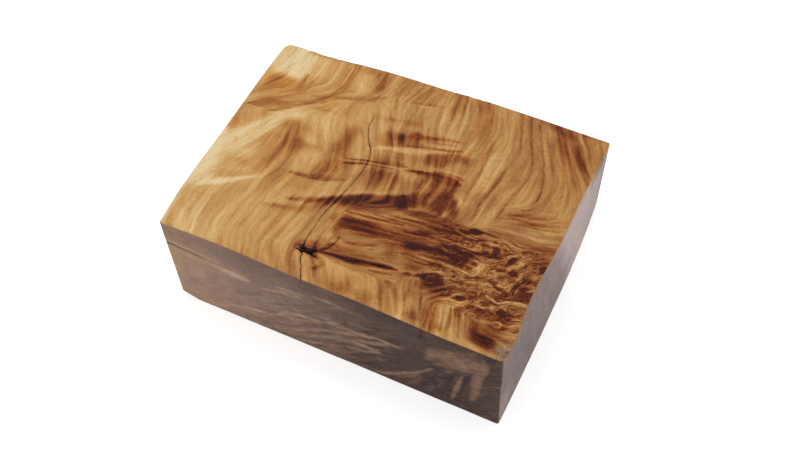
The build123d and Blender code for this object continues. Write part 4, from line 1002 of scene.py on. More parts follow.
def paintFront(x, y, z, wobble, slanted):
    look = sideFigure
    tone = look["frontTone"] - look["frontDarker"] * smooth(0, 110, x)
    tan = np.zeros(x.shape)
    # the bands were placed on a flat face between the corners, and the bowed side lies behind it
    low, high = frontLine("bottom", x), frontLine("top", x)
    behind = y - low - (high - low) * z / block["height"]
    fx, fz = x + look["seenAlong"] * behind, z + look["seenUp"] * behind
    paintPatches(fx, fz, frontPatches, tone, tan, wobble)
    plain = tone.copy()
    paintBands(fx, fz, frontBands, tone, tan, .30 * slanted, .7)
    tone = plain + (tone - plain) * look["bandContrast"]
    rightEnd = smooth(108, 114, x)
    for depth, size, seed in look["mottle"]:
        tone += rightEnd * depth * valueNoise(x, z, size, seed)
    # darker below the top edge, and paler along the edge itself: a painted highlight where the
    # eased edge catches the light
    tone -= (.035 * smooth(20, 40, x) + .03 * smooth(60, 40, x)) * smooth(33, 40, z)
    tone += .07 * smooth(42.3, 42.8, z) * smooth(30, 60, x)
    flames = smooth(20, 50, x) * smooth(32, 20, z - (x - 60) * .15) * smooth(100, 92, x - z * .2)
    tone += slanted * (look["strand"] + look["strandInFlames"] * flames)
    tone += np.interp(x, *look["slopes"])
    tan = .45 + .55 * tan + .2 * smooth(40, 5, x)
    tan += .25 * smooth(40.5, 42.5, z) * smooth(95, 115, x)
    return tone, tan, .35 + .65 * np.clip(flames + rightEnd, 0, 1)


def paintRight(y, z, wobble):
    # painted sheen: the right end grows paler towards the back, as its satin skin catches the light
    # there
    sheenShare = smooth(-8, 8, y - 55 - (40 - z) * .43 + 2 * wobble)
    tone = sideFigure["rightTone"] + sideFigure["rightSheen"] * sheenShare
    tan = np.zeros(y.shape)
    paintPatches(y, z, rightPatches, tone, tan, wobble)
    tone += .016 * (valueNoise(y + z * .2, z * .12, 1.1, 56) + valueNoise(y, z * .5, 3.5, 59))
    tone += .012 + .03 * smooth(30, 60, y) * smooth(100, 92, y)
    return tone, tan + .55 * smooth(37.5, 42, z)


def paintSides(x, y, z, normals):
    front = (normals[:, 1] < -.5) | ((y < 8) & (np.abs(normals[:, 1]) > .3))
    right = (normals[:, 0] > .5) & ~front
    # the sides that the photograph doesn't show have plain streaks that run down them
    around = x + y * .9 + z * .12
    upright = valueNoise(around, z * .12, 1.6, 53) + .6 * valueNoise(around, z * .1, .7, 54)
    tone = sideFigure["hiddenTone"] + upright * .035 + .05 * valueNoise(x + y, z, 14, 57)
    tan = sideFigure["hiddenTan"] + .3 * valueNoise(x + y * .7, z * .4, 9, 58)
    line = np.zeros(x.shape)
    # on the front the streaks follow the flames, which rise to the right
    along, across = x * .93 + z * .37, z * .93 - x * .37
    slanted = valueNoise(along * .2 + 40, across + 90, 1.1, 51)
    slanted += .6 * valueNoise(along * .3 + 40, across + 90, .7, 52)
    wobble = valueNoise(x, z, 6, 55)
    tone[front], tan[front], line[front] = paintFront(
        *[values[front] for values in (x, y, z, wobble, slanted)])
    tone[right], tan[right] = paintRight(y[right], z[right], wobble[right])
    return np.clip(tone, *sideFigure["toneRange"]), np.clip(tan, -1, 1), line


def deselectAll():
    if bpy.context.object and bpy.context.object.mode != "OBJECT":
        bpy.ops.object.mode_set(mode="OBJECT")
    bpy.ops.object.select_all(action="DESELECT")


def useOnly(obj):
    deselectAll()
    obj.select_set(True)
    bpy.context.view_layer.objects.active = obj


def readValues(items, key, size=3, kind=float):  # one row of numbers for each point, edge or face
    values = np.zeros(len(items) * size, kind)
    items.foreach_get(key, values)
    return values.reshape(-1, size)


def meshPoints(obj):
    return readValues(obj.data.vertices, "co")


def setMeshPoints(obj, co):
    obj.data.vertices.foreach_set("co", np.asarray(co, np.float32).ravel())
    obj.data.update()


def toPart(points):  # from mm off the left and the front of the box to mm about the middle
    return np.array(points, float) - [block["length"] / 2, block["width"] / 2, 0]


def boxPlace(co):  # and back, as three separate rows
    return co[:, 0] + block["length"] / 2, co[:, 1] + block["width"] / 2, co[:, 2]


def cutUprights(obj, pieces):  # each edge that stands upright is cut into so many pieces
    bpy.ops.object.mode_set(mode="EDIT")
    bpy.ops.mesh.select_mode(type="EDGE")
    bpy.ops.mesh.select_all(action="DESELECT")
    bpy.ops.object.mode_set(mode="OBJECT")
    z, ends = meshPoints(obj)[:, 2], readValues(obj.data.edges, "vertices", 2, int)
    obj.data.edges.foreach_set("select", np.abs(z[ends[:, 0]] - z[ends[:, 1]]) > .5)
    bpy.ops.object.mode_set(mode="EDIT")
    bpy.ops.mesh.subdivide(number_cuts=pieces - 1)


def sideCurve(level, k):  # one side of the outline, taken anticlockwise, as many close points
    start, end = cornerPlace(level, k), cornerPlace(level, (k + 1) % 4)
    along = end - start
    outwards = np.array([along[1], -along[0]]) / np.hypot(*along)
    shares, bows = np.array([(0, 0)] + sideBows[level][k] + [(1, 0)], float).T
    t = np.linspace(0, 1, block["sidePoints"])
    return start + t[:, None] * along + smoothBow(shares, bows, t)[:, None] * outwards


def smoothBow(shares, bows, t):  # natural cubic spline through the bow's points
    n = len(shares)
    h = np.diff(shares)
    a, r = np.eye(n), np.zeros(n)
    for i in range(1, n - 1):
        a[i, i - 1:i + 2] = [h[i - 1], 2 * (h[i - 1] + h[i]), h[i]]
        r[i] = 6 * ((bows[i + 1] - bows[i]) / h[i] - (bows[i] - bows[i - 1]) / h[i - 1])
    m = np.linalg.solve(a, r)
    i = np.clip(np.searchsorted(shares, t) - 1, 0, n - 2)
    u, v = t - shares[i], shares[i + 1] - t
    low, high = [bows[n] / h[i] - m[n] * h[i] / 6 for n in (i, i + 1)]
    return (m[i] * v ** 3 + m[i + 1] * u ** 3) / (6 * h[i]) + low * v + high * u


def insetRing(sides, insets):  # the outline moved inwards, by one number a side or one a point
    moved = []
    for p, inset in zip(sides, insets):
        along, inwards = waysOf(p)
        t = np.linspace(1, -1, len(p))[:, None]
        inset = np.broadcast_to(np.asarray(inset, float), len(p))[:, None]
        moved.append(p + inwards * inset + along * t * np.minimum(inset, block["topEdgeRound"]))
    for k in range(4):
        a, b = moved[k], moved[(k + 1) % 4]
        a[-1] = b[0] = (a[-1] + b[0]) / 2
    return moved


def roundCorners(sides):  # an arc at each upright edge, half of it on either side
    arcs, out = [], []
    phi = np.linspace(0, math.pi / 2, block["arcPoints"])[:, None]
    half = block["arcPoints"] // 2
    for k, (a, b) in enumerate(zip(sides[-1:] + sides[:-1], sides)):
        r = uprightRounds[k]
        ta, tb = [step / np.hypot(*step) for step in (a[-1] - a[-12], b[12] - b[0])]
        arcs.append(b[0] - r * ta + r * tb + r * (-tb * np.cos(phi) + ta * np.sin(phi)))
    for k, p in enumerate(sides):
        after = (k + 1) % 4
        d = distances(p)
        keep = (d > uprightRounds[k] + .05) & (d < d[-1] - uprightRounds[after] - .05)
        out.append(np.vstack([arcs[k][half:], p[keep], arcs[after][:half + 1]]))
    return out


def evenly(p, n):  # n + 1 points at even distances along a line
    d = distances(p)
    t = np.linspace(0, d[-1], n + 1)
    return np.stack([np.interp(t, d, p[:, 0]), np.interp(t, d, p[:, 1])], 1)


def waneWidth(points):  # width of the natural edge along the back side, from the right
    s = np.linspace(0, 1, points)
    w = np.interp(s, wane["shares"], wane["widths"], left=-1, right=-1)
    rough = sum(part * valueNoise(s * 142, row, size, seed)
                for part, size, row, seed in wane["rough"])
    return np.clip(w + rough * (w > .1), 0, None)


def levelSpots():  # for each mesh level its depth and inset, and the wane's share in width and drop
    levels, height = block["levels"], block["height"]
    r, rb = block["topEdgeRound"], block["bottomEdgeRound"]
    spots = [(0, r, 1, 0), (.29 * r, .29 * r, 1, 0), (r, 0, 1, 0), (r + .2, 0, .5, .5)]
    for depth in np.linspace(r + .45, height - rb, levels - 4)[:-1]:
        spots.append((depth, 0, 0, 1))
    return spots + [(height - rb, 0, 0, 0), (height, rb * .9, 0, 0)]


def outlineRings():  # the points round the block at each level: front, right, back, left
    height, cells = block["height"], (block["cellsAlong"], block["cellsAcross"])
    top, bottom = [[sideCurve(level, k) for k in range(4)] for level in ("top", "bottom")]
    w = waneWidth(block["sidePoints"])
    wAtCells = np.interp(np.linspace(0, 1, cells[0] + 1), np.linspace(0, 1, len(w)), w)
    rings = []
    for level, (depth, inset, widthShare, dropShare) in enumerate(levelSpots()):
        sides = [b + (t - b) * (1 - depth / height) for t, b in zip(top, bottom)]
        sides = roundCorners(insetRing(sides, [inset, inset, inset + w * widthShare, inset]))
        fade = max(0, 1 - max(0, level - wane["firstLevel"]) / wane["fadeLevels"])
        drops = [0, 0, wAtCells * wane["slope"] * dropShare * fade, 0]
        ring = []
        for k in range(4):
            p = evenly(sides[k], cells[k % 2])
            ring.append(np.column_stack([p, np.full(len(p), height - depth) - drops[k]]))
        rings.append(ring)
    return rings


def buildBody():
    nx, ny, levels = block["cellsAlong"], block["cellsAcross"], block["levels"]
    deselectAll()
    bpy.ops.mesh.primitive_grid_add(
        x_subdivisions=nx, y_subdivisions=ny, size=1, location=(0, 0, 0))
    body = bpy.context.object
    body.name = "burl_wood_block"
    bpy.ops.object.mode_set(mode="EDIT")
    bpy.ops.mesh.select_mode(type="VERT")
    bpy.ops.mesh.select_all(action="DESELECT")
    bpy.ops.mesh.select_non_manifold(
        extend=False, use_wire=False, use_boundary=True, use_multi_face=False,
        use_non_contiguous=False, use_verts=False)
    bpy.ops.mesh.select_mode(type="EDGE")
    bpy.ops.mesh.extrude_edges_move(TRANSFORM_OT_translate={"value": (0, 0, -1)})
    bpy.ops.mesh.edge_face_add()  # the underside
    cutUprights(body, levels)
    bpy.ops.mesh.select_all(action="SELECT")
    bpy.ops.mesh.normals_make_consistent(inside=False)
    bpy.ops.object.mode_set(mode="OBJECT")

    # where each point of the plain box goes: first the top, then the levels round the sides
    co = meshPoints(body)
    u, v = [(co[:, n] - co[:, n].min()) / np.ptp(co[:, n]) for n in (0, 1)]
    i, j = np.rint(u * nx).astype(int), np.rint(v * ny).astype(int)
    k = np.rint(-co[:, 2] * levels).astype(int)
    rings = outlineRings()
    front, right, back, left = [p[:, :2] for p in rings[0]]
    back, left = back[::-1], left[::-1]
    onTop = k == 0
    fu, fv = u[onTop][:, None], v[onTop][:, None]
    it, jt = i[onTop], j[onTop]
    flat = (1 - fv) * front[it] + fv * back[it] + (1 - fu) * left[jt] + fu * right[jt]
    flat -= (1 - fu) * (1 - fv) * front[0] + fu * (1 - fv) * front[-1]
    flat -= (1 - fu) * fv * back[0] + fu * fv * back[-1]
    out = np.zeros_like(co)
    out[onTop, :2] = flat
    out[onTop, 2] = block["height"]
    edges, steps = (j == 0, i == nx, j == ny, i == 0), (i, j, nx - i, ny - j)
    for level in range(1, levels + 1):
        for p, on, step in zip(rings[level], edges, steps):
            m = (k == level) & on
            out[m] = p[step[m]]
    low, high = [np.array(p) * 1000 for p in cadBox]
    setMeshPoints(body, np.clip(toPart(out), low, high))  # never outside the CAD part
    print("body:", len(body.data.vertices), "points")
    return body


def crackLine(name):  # a crack's depth and its middle line, with its width, made a little uneven
    depth, widest, points = cracks[name]
    mx, my = knotPit["middle"]
    path = curve([(mx + x, my + y, widest * share) for x, y, share in points], 1.1)
    n = np.arange(len(path), dtype=float)
    seed = crackRough["firstSeed"] + list(cracks).index(name)
    stray = crackRough["stray"] * valueNoise(n * 1.1, 4, 1.3, seed)
    stray *= smooth(0, 2, n) * smooth(len(n) - 1, len(n) - 3, n)
    path[:, :2] += waysOf(path)[1] * stray[:, None]
    path[:, 2] *= 1 + crackRough["widthWave"] * valueNoise(n * 1.1, 11, .9, seed + 20)
    return depth, path


# a plate of so many cells, with each point's step along it, its side and if it is a lower point
def flatCutter(name, along, across):
    deselectAll()
    bpy.ops.mesh.primitive_grid_add(
        x_subdivisions=along, y_subdivisions=across, size=2, location=(0, 0, 0))
    cutter = bpy.context.object
    cutter.name = name
    bpy.ops.object.mode_set(mode="EDIT")
    bpy.ops.mesh.select_all(action="SELECT")
    bpy.ops.mesh.extrude_region_move(TRANSFORM_OT_translate={"value": (0, 0, -1)})
    bpy.ops.object.mode_set(mode="OBJECT")
    co = meshPoints(cutter)
    return cutter, np.rint((co[:, 0] + 1) / 2 * along).astype(int), co[:, 1], co[:, 2] < -.5


def crackCutter(name):  # a long thin wedge that narrows downwards
    depth, path = crackLine(name)
    cutter, i, side, low = flatCutter(name, len(path) - 1, 2)
    left, width = waysOf(path)[1][i], path[i, 2]
    share = np.where(low, np.where(np.abs(side) < .5, 0, crackRough["floorShare"]), 1 + .7 / depth)
    flat = path[i, :2] + left * (side * share * np.maximum(width, .03) / 2)[:, None]
    rough = crackRough["depthWave"] * valueNoise(i * 1.7, 5, 1.5, 140 + len(path))
    reach = depth * (1 + rough) * np.minimum(1, .35 + width / .3)
    z = block["height"] + np.where(low, -reach, 1)
    setMeshPoints(cutter, toPart(np.column_stack([flat, z])))
    return cutter


def pitCutter():  # the hole left by bark, with ragged walls and an uneven floor
    deselectAll()
    bpy.ops.mesh.primitive_cylinder_add(
        vertices=knotPit["points"], radius=1, depth=1, end_fill_type="NGON", location=(0, 0, 0))
    cutter = bpy.context.object
    cutter.name = "barkPit"
    cutUprights(cutter, knotPit["rings"])
    bpy.ops.mesh.select_all(action="DESELECT")
    bpy.ops.mesh.select_mode(type="FACE")
    bpy.ops.object.mode_set(mode="OBJECT")
    for face in cutter.data.polygons:
        face.select = face.normal.z < -.9 and len(face.vertices) > 8  # only the floor
    bpy.ops.object.mode_set(mode="EDIT")
    for _ in range(4):
        bpy.ops.mesh.inset(thickness=.2, depth=0)
    bpy.ops.object.mode_set(mode="OBJECT")
    co = meshPoints(cutter)
    steps = 960
    loop = evenly(curve(knotPit["rim"] + knotPit["rim"][:1], .35), steps)
    around = np.arctan2(co[:, 1], co[:, 0]) / (2 * math.pi) % 1
    at = loop[np.rint(around * steps).astype(int) % steps]
    radius, drop = np.hypot(co[:, 0], co[:, 1]), .5 - co[:, 2]
    wall = radius > .99
    floorShare, middle, depth = knotPit["floorShare"], knotPit["middle"], knotPit["depth"]
    share = np.where(wall, 1 - (1 - floorShare) * drop ** 1.4, floorShare * radius)
    share *= 1 + valueNoise(around * 60 + drop * 3, drop * 9, 1, 81) * knotPit["wallRough"] * wall
    down = np.where(wall, -1.0 + (depth + 1.0) * drop, depth)
    grit = valueNoise(at[:, 0] * radius * 2.2 + 40, at[:, 1] * radius * 2.2 + 40, 1, 82)
    down += (~wall) * grit * knotPit["floorGrit"] - np.where(wall & (drop > .98), .15, 0)
    upper = 1 + .25 * (.3 - drop)  # it widens a little above the top, so the rim comes out clean
    flat = at * np.where(wall & (drop < .3), upper, share)[:, None] + middle
    setMeshPoints(cutter, toPart(np.column_stack([flat, block["height"] - down])))
    return cutter


def shakeCutter():  # a thin open layer in the front side, from the left end
    gap, cells = shake["gap"], shake["points"] - 1
    cutter, i, side, low = flatCutter("shakeCut", cells, 1)
    s = i / cells
    x = -1 + s * (shake["length"] + 1)
    middleLine = block["height"] - shake["belowTop"] - shake["drop"] * s - gap / 2
    middleLine += valueNoise(x, 2, 2.5, 91) * .16 * smooth(0, .1, s)
    half = (gap / 2) * (1 - s) ** .6 * (1 + .4 * valueNoise(x, 7, 1.6, 92)) + .015
    z = middleLine + np.where(low, -half, half)
    bottomY, topY = cornerInsets["bottom"][0][1], cornerInsets["top"][0][1]
    face = bottomY + (topY - bottomY) * z / block["height"] - .9 * s
    y = np.where(side > 0, face + shake["depth"] * (1 - .5 * s), -2)
    setMeshPoints(cutter, toPart(np.column_stack([x, y, z])))
    return cutter


def chipCutter():  # knocked out of the top edge of the right side
    deselectAll()
    bpy.ops.mesh.primitive_ico_sphere_add(subdivisions=3, radius=1, location=(0, 0, 0))
    cutter = bpy.context.object
    cutter.name = "chipCut"
    co = meshPoints(cutter)
    bumps = valueNoise(co[:, 0] * 2 + 9, co[:, 1] * 2 + co[:, 2] * 1.5 + 9, 1, 95)
    co *= (1 + chip["bumps"] * bumps)[:, None] * chip["size"]
    setMeshPoints(cutter, toPart(co + chip["middle"]))
    return cutter


def cut(body, cutter):
    useOnly(cutter)
    bpy.ops.object.mode_set(mode="EDIT")
    bpy.ops.mesh.select_all(action="SELECT")
    bpy.ops.mesh.normals_make_consistent(inside=False)
    bpy.ops.object.mode_set(mode="OBJECT")
    useOnly(body)
    m = body.modifiers.new(cutter.name, "BOOLEAN")
    m.operation = "DIFFERENCE"
    m.object = cutter
    m.solver = "MANIFOLD"
    before = len(body.data.polygons)
    bpy.ops.object.modifier_apply(modifier=m.name)
    print("cut", cutter.name, before, "->", len(body.data.polygons))
    bpy.data.objects.remove(cutter)


def roughen(body):  # the sawn sides dip in and the worn corners are granular, always inwards
    co, normals = meshPoints(body), readValues(body.data.vertices, "normal")
    x, y, z = boxPlace(co)
    along = np.where(np.abs(normals[:, 0]) > np.abs(normals[:, 1]), y, x)
    dip = (.5 + .5 * valueNoise(along, z, 9, 61)) * .7
    dip += (.5 + .5 * valueNoise(along, z * .6, 1.3, 62)) * .3
    move = -normals * (dip * block["sawWave"] * (np.abs(normals[:, 2]) < .6))[:, None]
    worn = sum(share * np.exp(-((x - wx) / reachX) ** 2 - ((y - wy) / reachY) ** 2)
               for wx, wy, reachX, reachY, share in wornCorners)
    grain = (.5 + .5 * valueNoise(x, y + z, .9, 63)) * (z > block["height"] - 2)
    move[:, 2] -= worn * grain * block["wornCorner"] * (normals[:, 2] > .3)
    setMeshPoints(body, co + move)


body = buildBody()
roughen(body)
for name in cracks:
    cut(body, crackCutter(name))
for makeCutter in (pitCutter, shakeCutter, chipCutter):
    cut(body, makeCutter())


def cornerPoint(level, k):
    return toPart([(*cornerPlace(level, k), block["height"] if level == "top" else 0)])[0]


def towards(start, end, reach):
    return start + (end - start) / np.linalg.norm(end - start) * reach


# wane at the front left corner of the underside, cut off by a plane
bottomCorner = cornerPoint("bottom", 0)
up = towards(bottomCorner, cornerPoint("top", 0), cornerWane["up"])
front = towards(bottomCorner, cornerPoint("bottom", 1), cornerWane["alongFront"])
left = towards(bottomCorner, cornerPoint("bottom", 3), cornerWane["alongLeft"])
normal = np.cross(front - up, left - up)
normal /= np.linalg.norm(normal) * (-1 if normal[2] > 0 else 1)
useOnly(body)
bpy.ops.object.mode_set(mode="EDIT")
bpy.ops.mesh.select_all(action="SELECT")
bpy.ops.mesh.bisect(
    plane_co=tuple(up), plane_no=tuple(normal), use_fill=True, clear_outer=True, clear_inner=False)
bpy.ops.mesh.select_all(action="SELECT")
bpy.ops.mesh.remove_doubles(threshold=.002)
bpy.ops.mesh.dissolve_degenerate(threshold=.002)
bpy.ops.object.mode_set(mode="OBJECT")
print("cuts done:", len(body.data.vertices), "points")

px, py, pz = boxPlace(meshPoints(body))
normals = readValues(body.data.vertices, "normal")
tone, warm, burl, fibre, grainCos, grainSin = paintTop(px, py)
for name, reach, darker in (
        ("mainCrack", .5, .09), ("frontCrack", .5, .09), ("hookCrack", .6, .06)):
    d, _, width = alongPath(px, py, crackLine(name)[1])
    tone -= darker * smooth(reach, .1, d - width / 2) * smooth(0, .08, width)
sideTone, sideTan, sideLine = paintSides(px, py, pz, normals)
# what a side shows where it turns up into the top
onTop = normals[:, 2] > .6
sideTone[onTop] = .41 + .06 * valueNoise(px, py, .8, 98)[onTop]
sideTan[onTop] = np.where(py[onTop] > 90, .2, .55)
for name, values in {
        "topTone": tone, "topWarmth": warm, "topBurl": burl, "topFibre": fibre,
        "topGrainCos": grainCos, "topGrainSin": grainSin,
        "sideTone": sideTone, "sideTan": sideTan, "sideLine": sideLine}.items():
    attribute = body.data.attributes.new(name, "FLOAT", "POINT")
    attribute.data.foreach_set("value", np.asarray(values, np.float32))
print("figure painted")

# what each face is: its place in the list of materials
planedTop, sawnSide, underside, inOpening = range(4)
faces = body.data.polygons
cx, cy, cz = boxPlace(readValues(faces, "center"))
facing = readValues(faces, "normal")
depth = block["height"] - cz
kind = np.where(facing[:, 2] > .55, planedTop, sawnSide)
kind[facing[:, 2] < -.8] = underside
inside = np.zeros(len(faces), bool)
for name in cracks:
    reach, path = crackLine(name)
    near = nearPath(cx, cy, path, 2)
    d, _, width = alongPath(cx[near], cy[near], path)
    inside[near] |= (d < width / 2 + .10) & (depth[near] > .02) & (depth[near] < reach * 1.3)
mx, my = knotPit["middle"]
inside |= (np.hypot(cx - mx, cy - my) < 7) & (depth > .02) & (depth < 4)
inside &= (cy > 5.3) | (np.abs(facing[:, 0]) > .5)
# the gap of the shake has no bark: its near-black faces are painted shade
shakeDepth = shake["belowTop"] + shake["drop"] * cx / shake["length"]
atShake = (cx < shake["length"]) & (np.abs(depth - shakeDepth) < 1.2)
atShake &= (cy > 3.2) & (cy < 8) & (np.abs(facing[:, 2]) > .7)
kind[inside | atShake] = inOpening
# the worn corner at the front right is rough and grey, in crumbs
worn = np.exp(-((cx - 140.4) / 2.4) ** 2 - ((cy - 5) / 4.2) ** 2)
crumbs = valueNoise(cx, cy, .55, 97) > .95 - 1.3 * worn
kind[crumbs & (kind == planedTop) & (cx > 132) & (cy < 16)] = sawnSide
# the natural edge at the back kept a grey skin
atBack = (facing[:, 2] < .93) & (cy > 100) & (cx > 5) & (cx < 96)
kind[(kind == planedTop) & atBack] = sawnSide


def linear(hexText):
    parts = [int(hexText[k:k + 2], 16) / 255 for k in (0, 2, 4)]
    return tuple(c / 12.92 if c <= .04045 else ((c + .055) / 1.055) ** 2.4 for c in parts) + (1,)


# a node with its settings, its values and links, and its ramp's colours; gives the output asked for
def addNode(tree, kind, inputs=(), out=0, stops=(), **settings):
    node = tree.nodes.new("ShaderNode" + kind)
    for key, value in settings.items():
        setattr(node, key, value)
    for key, value in inputs.items() if isinstance(inputs, dict) else enumerate(inputs):
        if isinstance(value, bpy.types.NodeSocket):
            tree.links.new(value, node.inputs[key])
        else:
            node.inputs[key].default_value = value
    if stops:
        elements = node.color_ramp.elements
        while len(elements) < len(stops):
            elements.new(.5)
        for element, (place, colour) in zip(elements, stops):
            element.position = place
            element.color = linear(colour)
    return node.outputs[out] if len(node.outputs) else node


def startMaterial(name, noises=()):  # noises: size in mm, detail, roughness, stretch, warp
    material = bpy.data.materials.new(name)
    material.use_nodes = True
    tree = material.node_tree
    tree.nodes.clear()
    place = addNode(tree, "TexCoord", out="Object")
    made = []
    for sizeMm, detail, roughness, stretch, warp in noises:
        mapped = addNode(tree, "Mapping", {
            "Vector": place, "Scale": [1000 / sizeMm * k for k in stretch]})
        made.append(addNode(tree, "TexNoise", {
            "Vector": mapped, "Scale": 1, "Detail": detail, "Roughness": roughness,
            "Distortion": warp}))
    return material, tree, place, made


def finishMaterial(tree, colour, roughness, gloss, height, strength, distanceMm):
    relief = addNode(tree, "Bump", {
        "Strength": strength, "Distance": distanceMm / 1000, "Height": height})
    skin = addNode(tree, "BsdfPrincipled", {
        "Base Color": colour, "Roughness": roughness, "IOR": 1.5, "Specular IOR Level": gloss,
        "Normal": relief})
    addNode(tree, "OutputMaterial", {"Surface": skin})


even = (1, 1, 1)  # a noise that isn't stretched
burlLook = {
    # the wood's own colours from its darkest to its palest, on its redder and its yellower side
    "redSide": [(.15, "3C0A00"), (.21, "581602"), (.27, "6E2605"), (.33, "84380A"),
                (.39, "964C12"), (.45, "A66022"), (.51, "B4722E"), (.57, "C28239"),
                (.63, "CE9349"), (.69, "D8A35C"), (.75, "E3B573"), (.81, "EAC58C")],
    "yellowSide": [(.15, "2F0F06"), (.21, "411E0E"), (.27, "58301A"), (.33, "6D4424"),
                   (.39, "805632"), (.45, "916A42"), (.51, "A0794C"), (.57, "B08A59"),
                   (.63, "BD9A67"), (.69, "C9AB79"), (.75, "D3BD8F"), (.81, "DBCCA3")],
    "redShare": .44, "warmthStep": .5,  # how red plain wood is, and what the painted warmth adds
    "poreMm": .45, "mottleMm": 1.6, "poreDepth": .10, "mottleDepth": .10,
    "roughness": .40, "gloss": .08, "relief": .35, "reliefMm": .06,
    # real fibres are ten times finer, too fine to show, so these are as coarse as the picture holds
    "fibreWidthMm": .5, "fibreLengthMm": 5.0, "fibreTurns": 6, "fibreDepth": .15, "inBurl": .40,
    "fleckWidthMm": .6, "fleckLengthMm": 2.6, "fleckFrom": .07,
    "overDepth": -2.6, "underDepth": -1.3,
}


# streaks along the painted grain, blended from a few fixed turns
def fibres(tree, place, widthMm, lengthMm, shift):
    cosTwice = addNode(tree, "Attribute", out="Fac", attribute_name="topGrainCos")
    sinTwice = addNode(tree, "Attribute", out="Fac", attribute_name="topGrainSin")
    total = 0
    for k in range(burlLook["fibreTurns"]):
        turn = math.pi * k / burlLook["fibreTurns"]
        mapped = addNode(tree, "Mapping", {
            "Vector": place, "Rotation": (0, 0, turn), "Location": (.013 * k + shift, .007 * k, 0),
            "Scale": (lengthMm / 1000, widthMm / 1000, .05)}, vector_type="TEXTURE")
        streak = addNode(tree, "TexNoise", {
            "Vector": mapped, "Scale": 1, "Detail": 2, "Roughness": .5})
        facing = addNode(tree, "Math", [cosTwice, math.cos(2 * turn)], operation="MULTIPLY")
        facing = addNode(
            tree, "Math", [sinTwice, math.sin(2 * turn), facing], operation="MULTIPLY_ADD")
        facing = addNode(tree, "Math", [facing, 0], operation="MAXIMUM")
        share = addNode(tree, "Math", [facing, 3], operation="POWER")
        away = addNode(tree, "Math", [streak, .5], operation="SUBTRACT")
        total = addNode(tree, "Math", [share, away, total], operation="MULTIPLY_ADD")
    return total


def planedBurl():
    # burl wood planed smooth and filled with clear resin: the figure lies deep under a satin skin
    look = burlLook
    material, tree, place, (pores, mottle) = startMaterial("burl wood planed and resin filled", [
        (look["poreMm"], 3, .6, even, 0), (look["mottleMm"], 3, .6, even, 0)])
    tone, warmth, burl, fibre = [
        addNode(tree, "Attribute", out="Fac", attribute_name=name)
        for name in ("topTone", "topWarmth", "topBurl", "topFibre")]
    # short dark flecks, in the burl only
    flecks = fibres(tree, place, look["fleckWidthMm"], look["fleckLengthMm"], .05)
    over = addNode(tree, "Math", [flecks, look["fleckFrom"]], operation="SUBTRACT")
    over = addNode(tree, "Math", [over, 0], operation="MAXIMUM")
    under = addNode(tree, "Math", [flecks, look["fleckFrom"]], operation="ADD")
    under = addNode(tree, "Math", [under, 0], operation="MINIMUM")
    flecks = addNode(tree, "Math", [over, look["overDepth"]], operation="MULTIPLY")
    flecks = addNode(tree, "Math", [under, look["underDepth"], flecks], operation="MULTIPLY_ADD")
    streaks = fibres(tree, place, look["fibreWidthMm"], look["fibreLengthMm"], 0)
    streakDepth = addNode(
        tree, "Math", [burl, look["inBurl"], look["fibreDepth"]], operation="MULTIPLY_ADD")
    # noises lie about a half, so half of their depths is taken off first
    half = (look["poreDepth"] + look["mottleDepth"]) / 2
    total = addNode(tree, "Math", [tone, half], operation="SUBTRACT")
    for part, amount in ((pores, look["poreDepth"]), (mottle, look["mottleDepth"]),
                         (streaks, streakDepth), (flecks, burl)):
        total = addNode(tree, "Math", [part, amount, total], operation="MULTIPLY_ADD")
    redShare = addNode(
        tree, "Math", [warmth, look["warmthStep"], look["redShare"]], operation="MULTIPLY_ADD")
    yellow = addNode(tree, "ValToRGB", [total], stops=look["yellowSide"])
    red = addNode(tree, "ValToRGB", [total], stops=look["redSide"])
    colour = addNode(tree, "Mix", {0: redShare, 6: yellow, 7: red}, out=2, data_type="RGBA")
    roughness = addNode(tree, "Math", [mottle, .12, look["roughness"]], operation="MULTIPLY_ADD")
    height = addNode(tree, "Math", [fibre, .3, pores], operation="MULTIPLY_ADD")
    finishMaterial(tree, colour, roughness, look["gloss"], height, look["relief"], look["reliefMm"])
    return material


sawnLook = {
    # painted reflection: this grey-violet ramp stands in for the pale surroundings seen in the
    # resin-soaked sides
    "reflectedGreySide": [
        (.12, "2A2020"), (.25, "524440"), (.43, "867673"), (.60, "B8A3A0"), (.75, "D4C6C3")],
    "tanSide": [
        (.12, "301E18"), (.25, "5A3D2E"), (.43, "936B4D"), (.60, "C29C76"), (.75, "DCC2A0")],
    "fineMm": .5, "cloudMm": 3.2, "fineDepth": .10, "cloudDepth": .12,
    "roughness": .55, "gloss": .2, "relief": .5, "reliefMm": .1,
    # strands of the front side, rising to the right
    "strandWidthMm": .6, "strandLengthMm": 7.0, "strandTurn": .38, "strandDepth": .36,
}


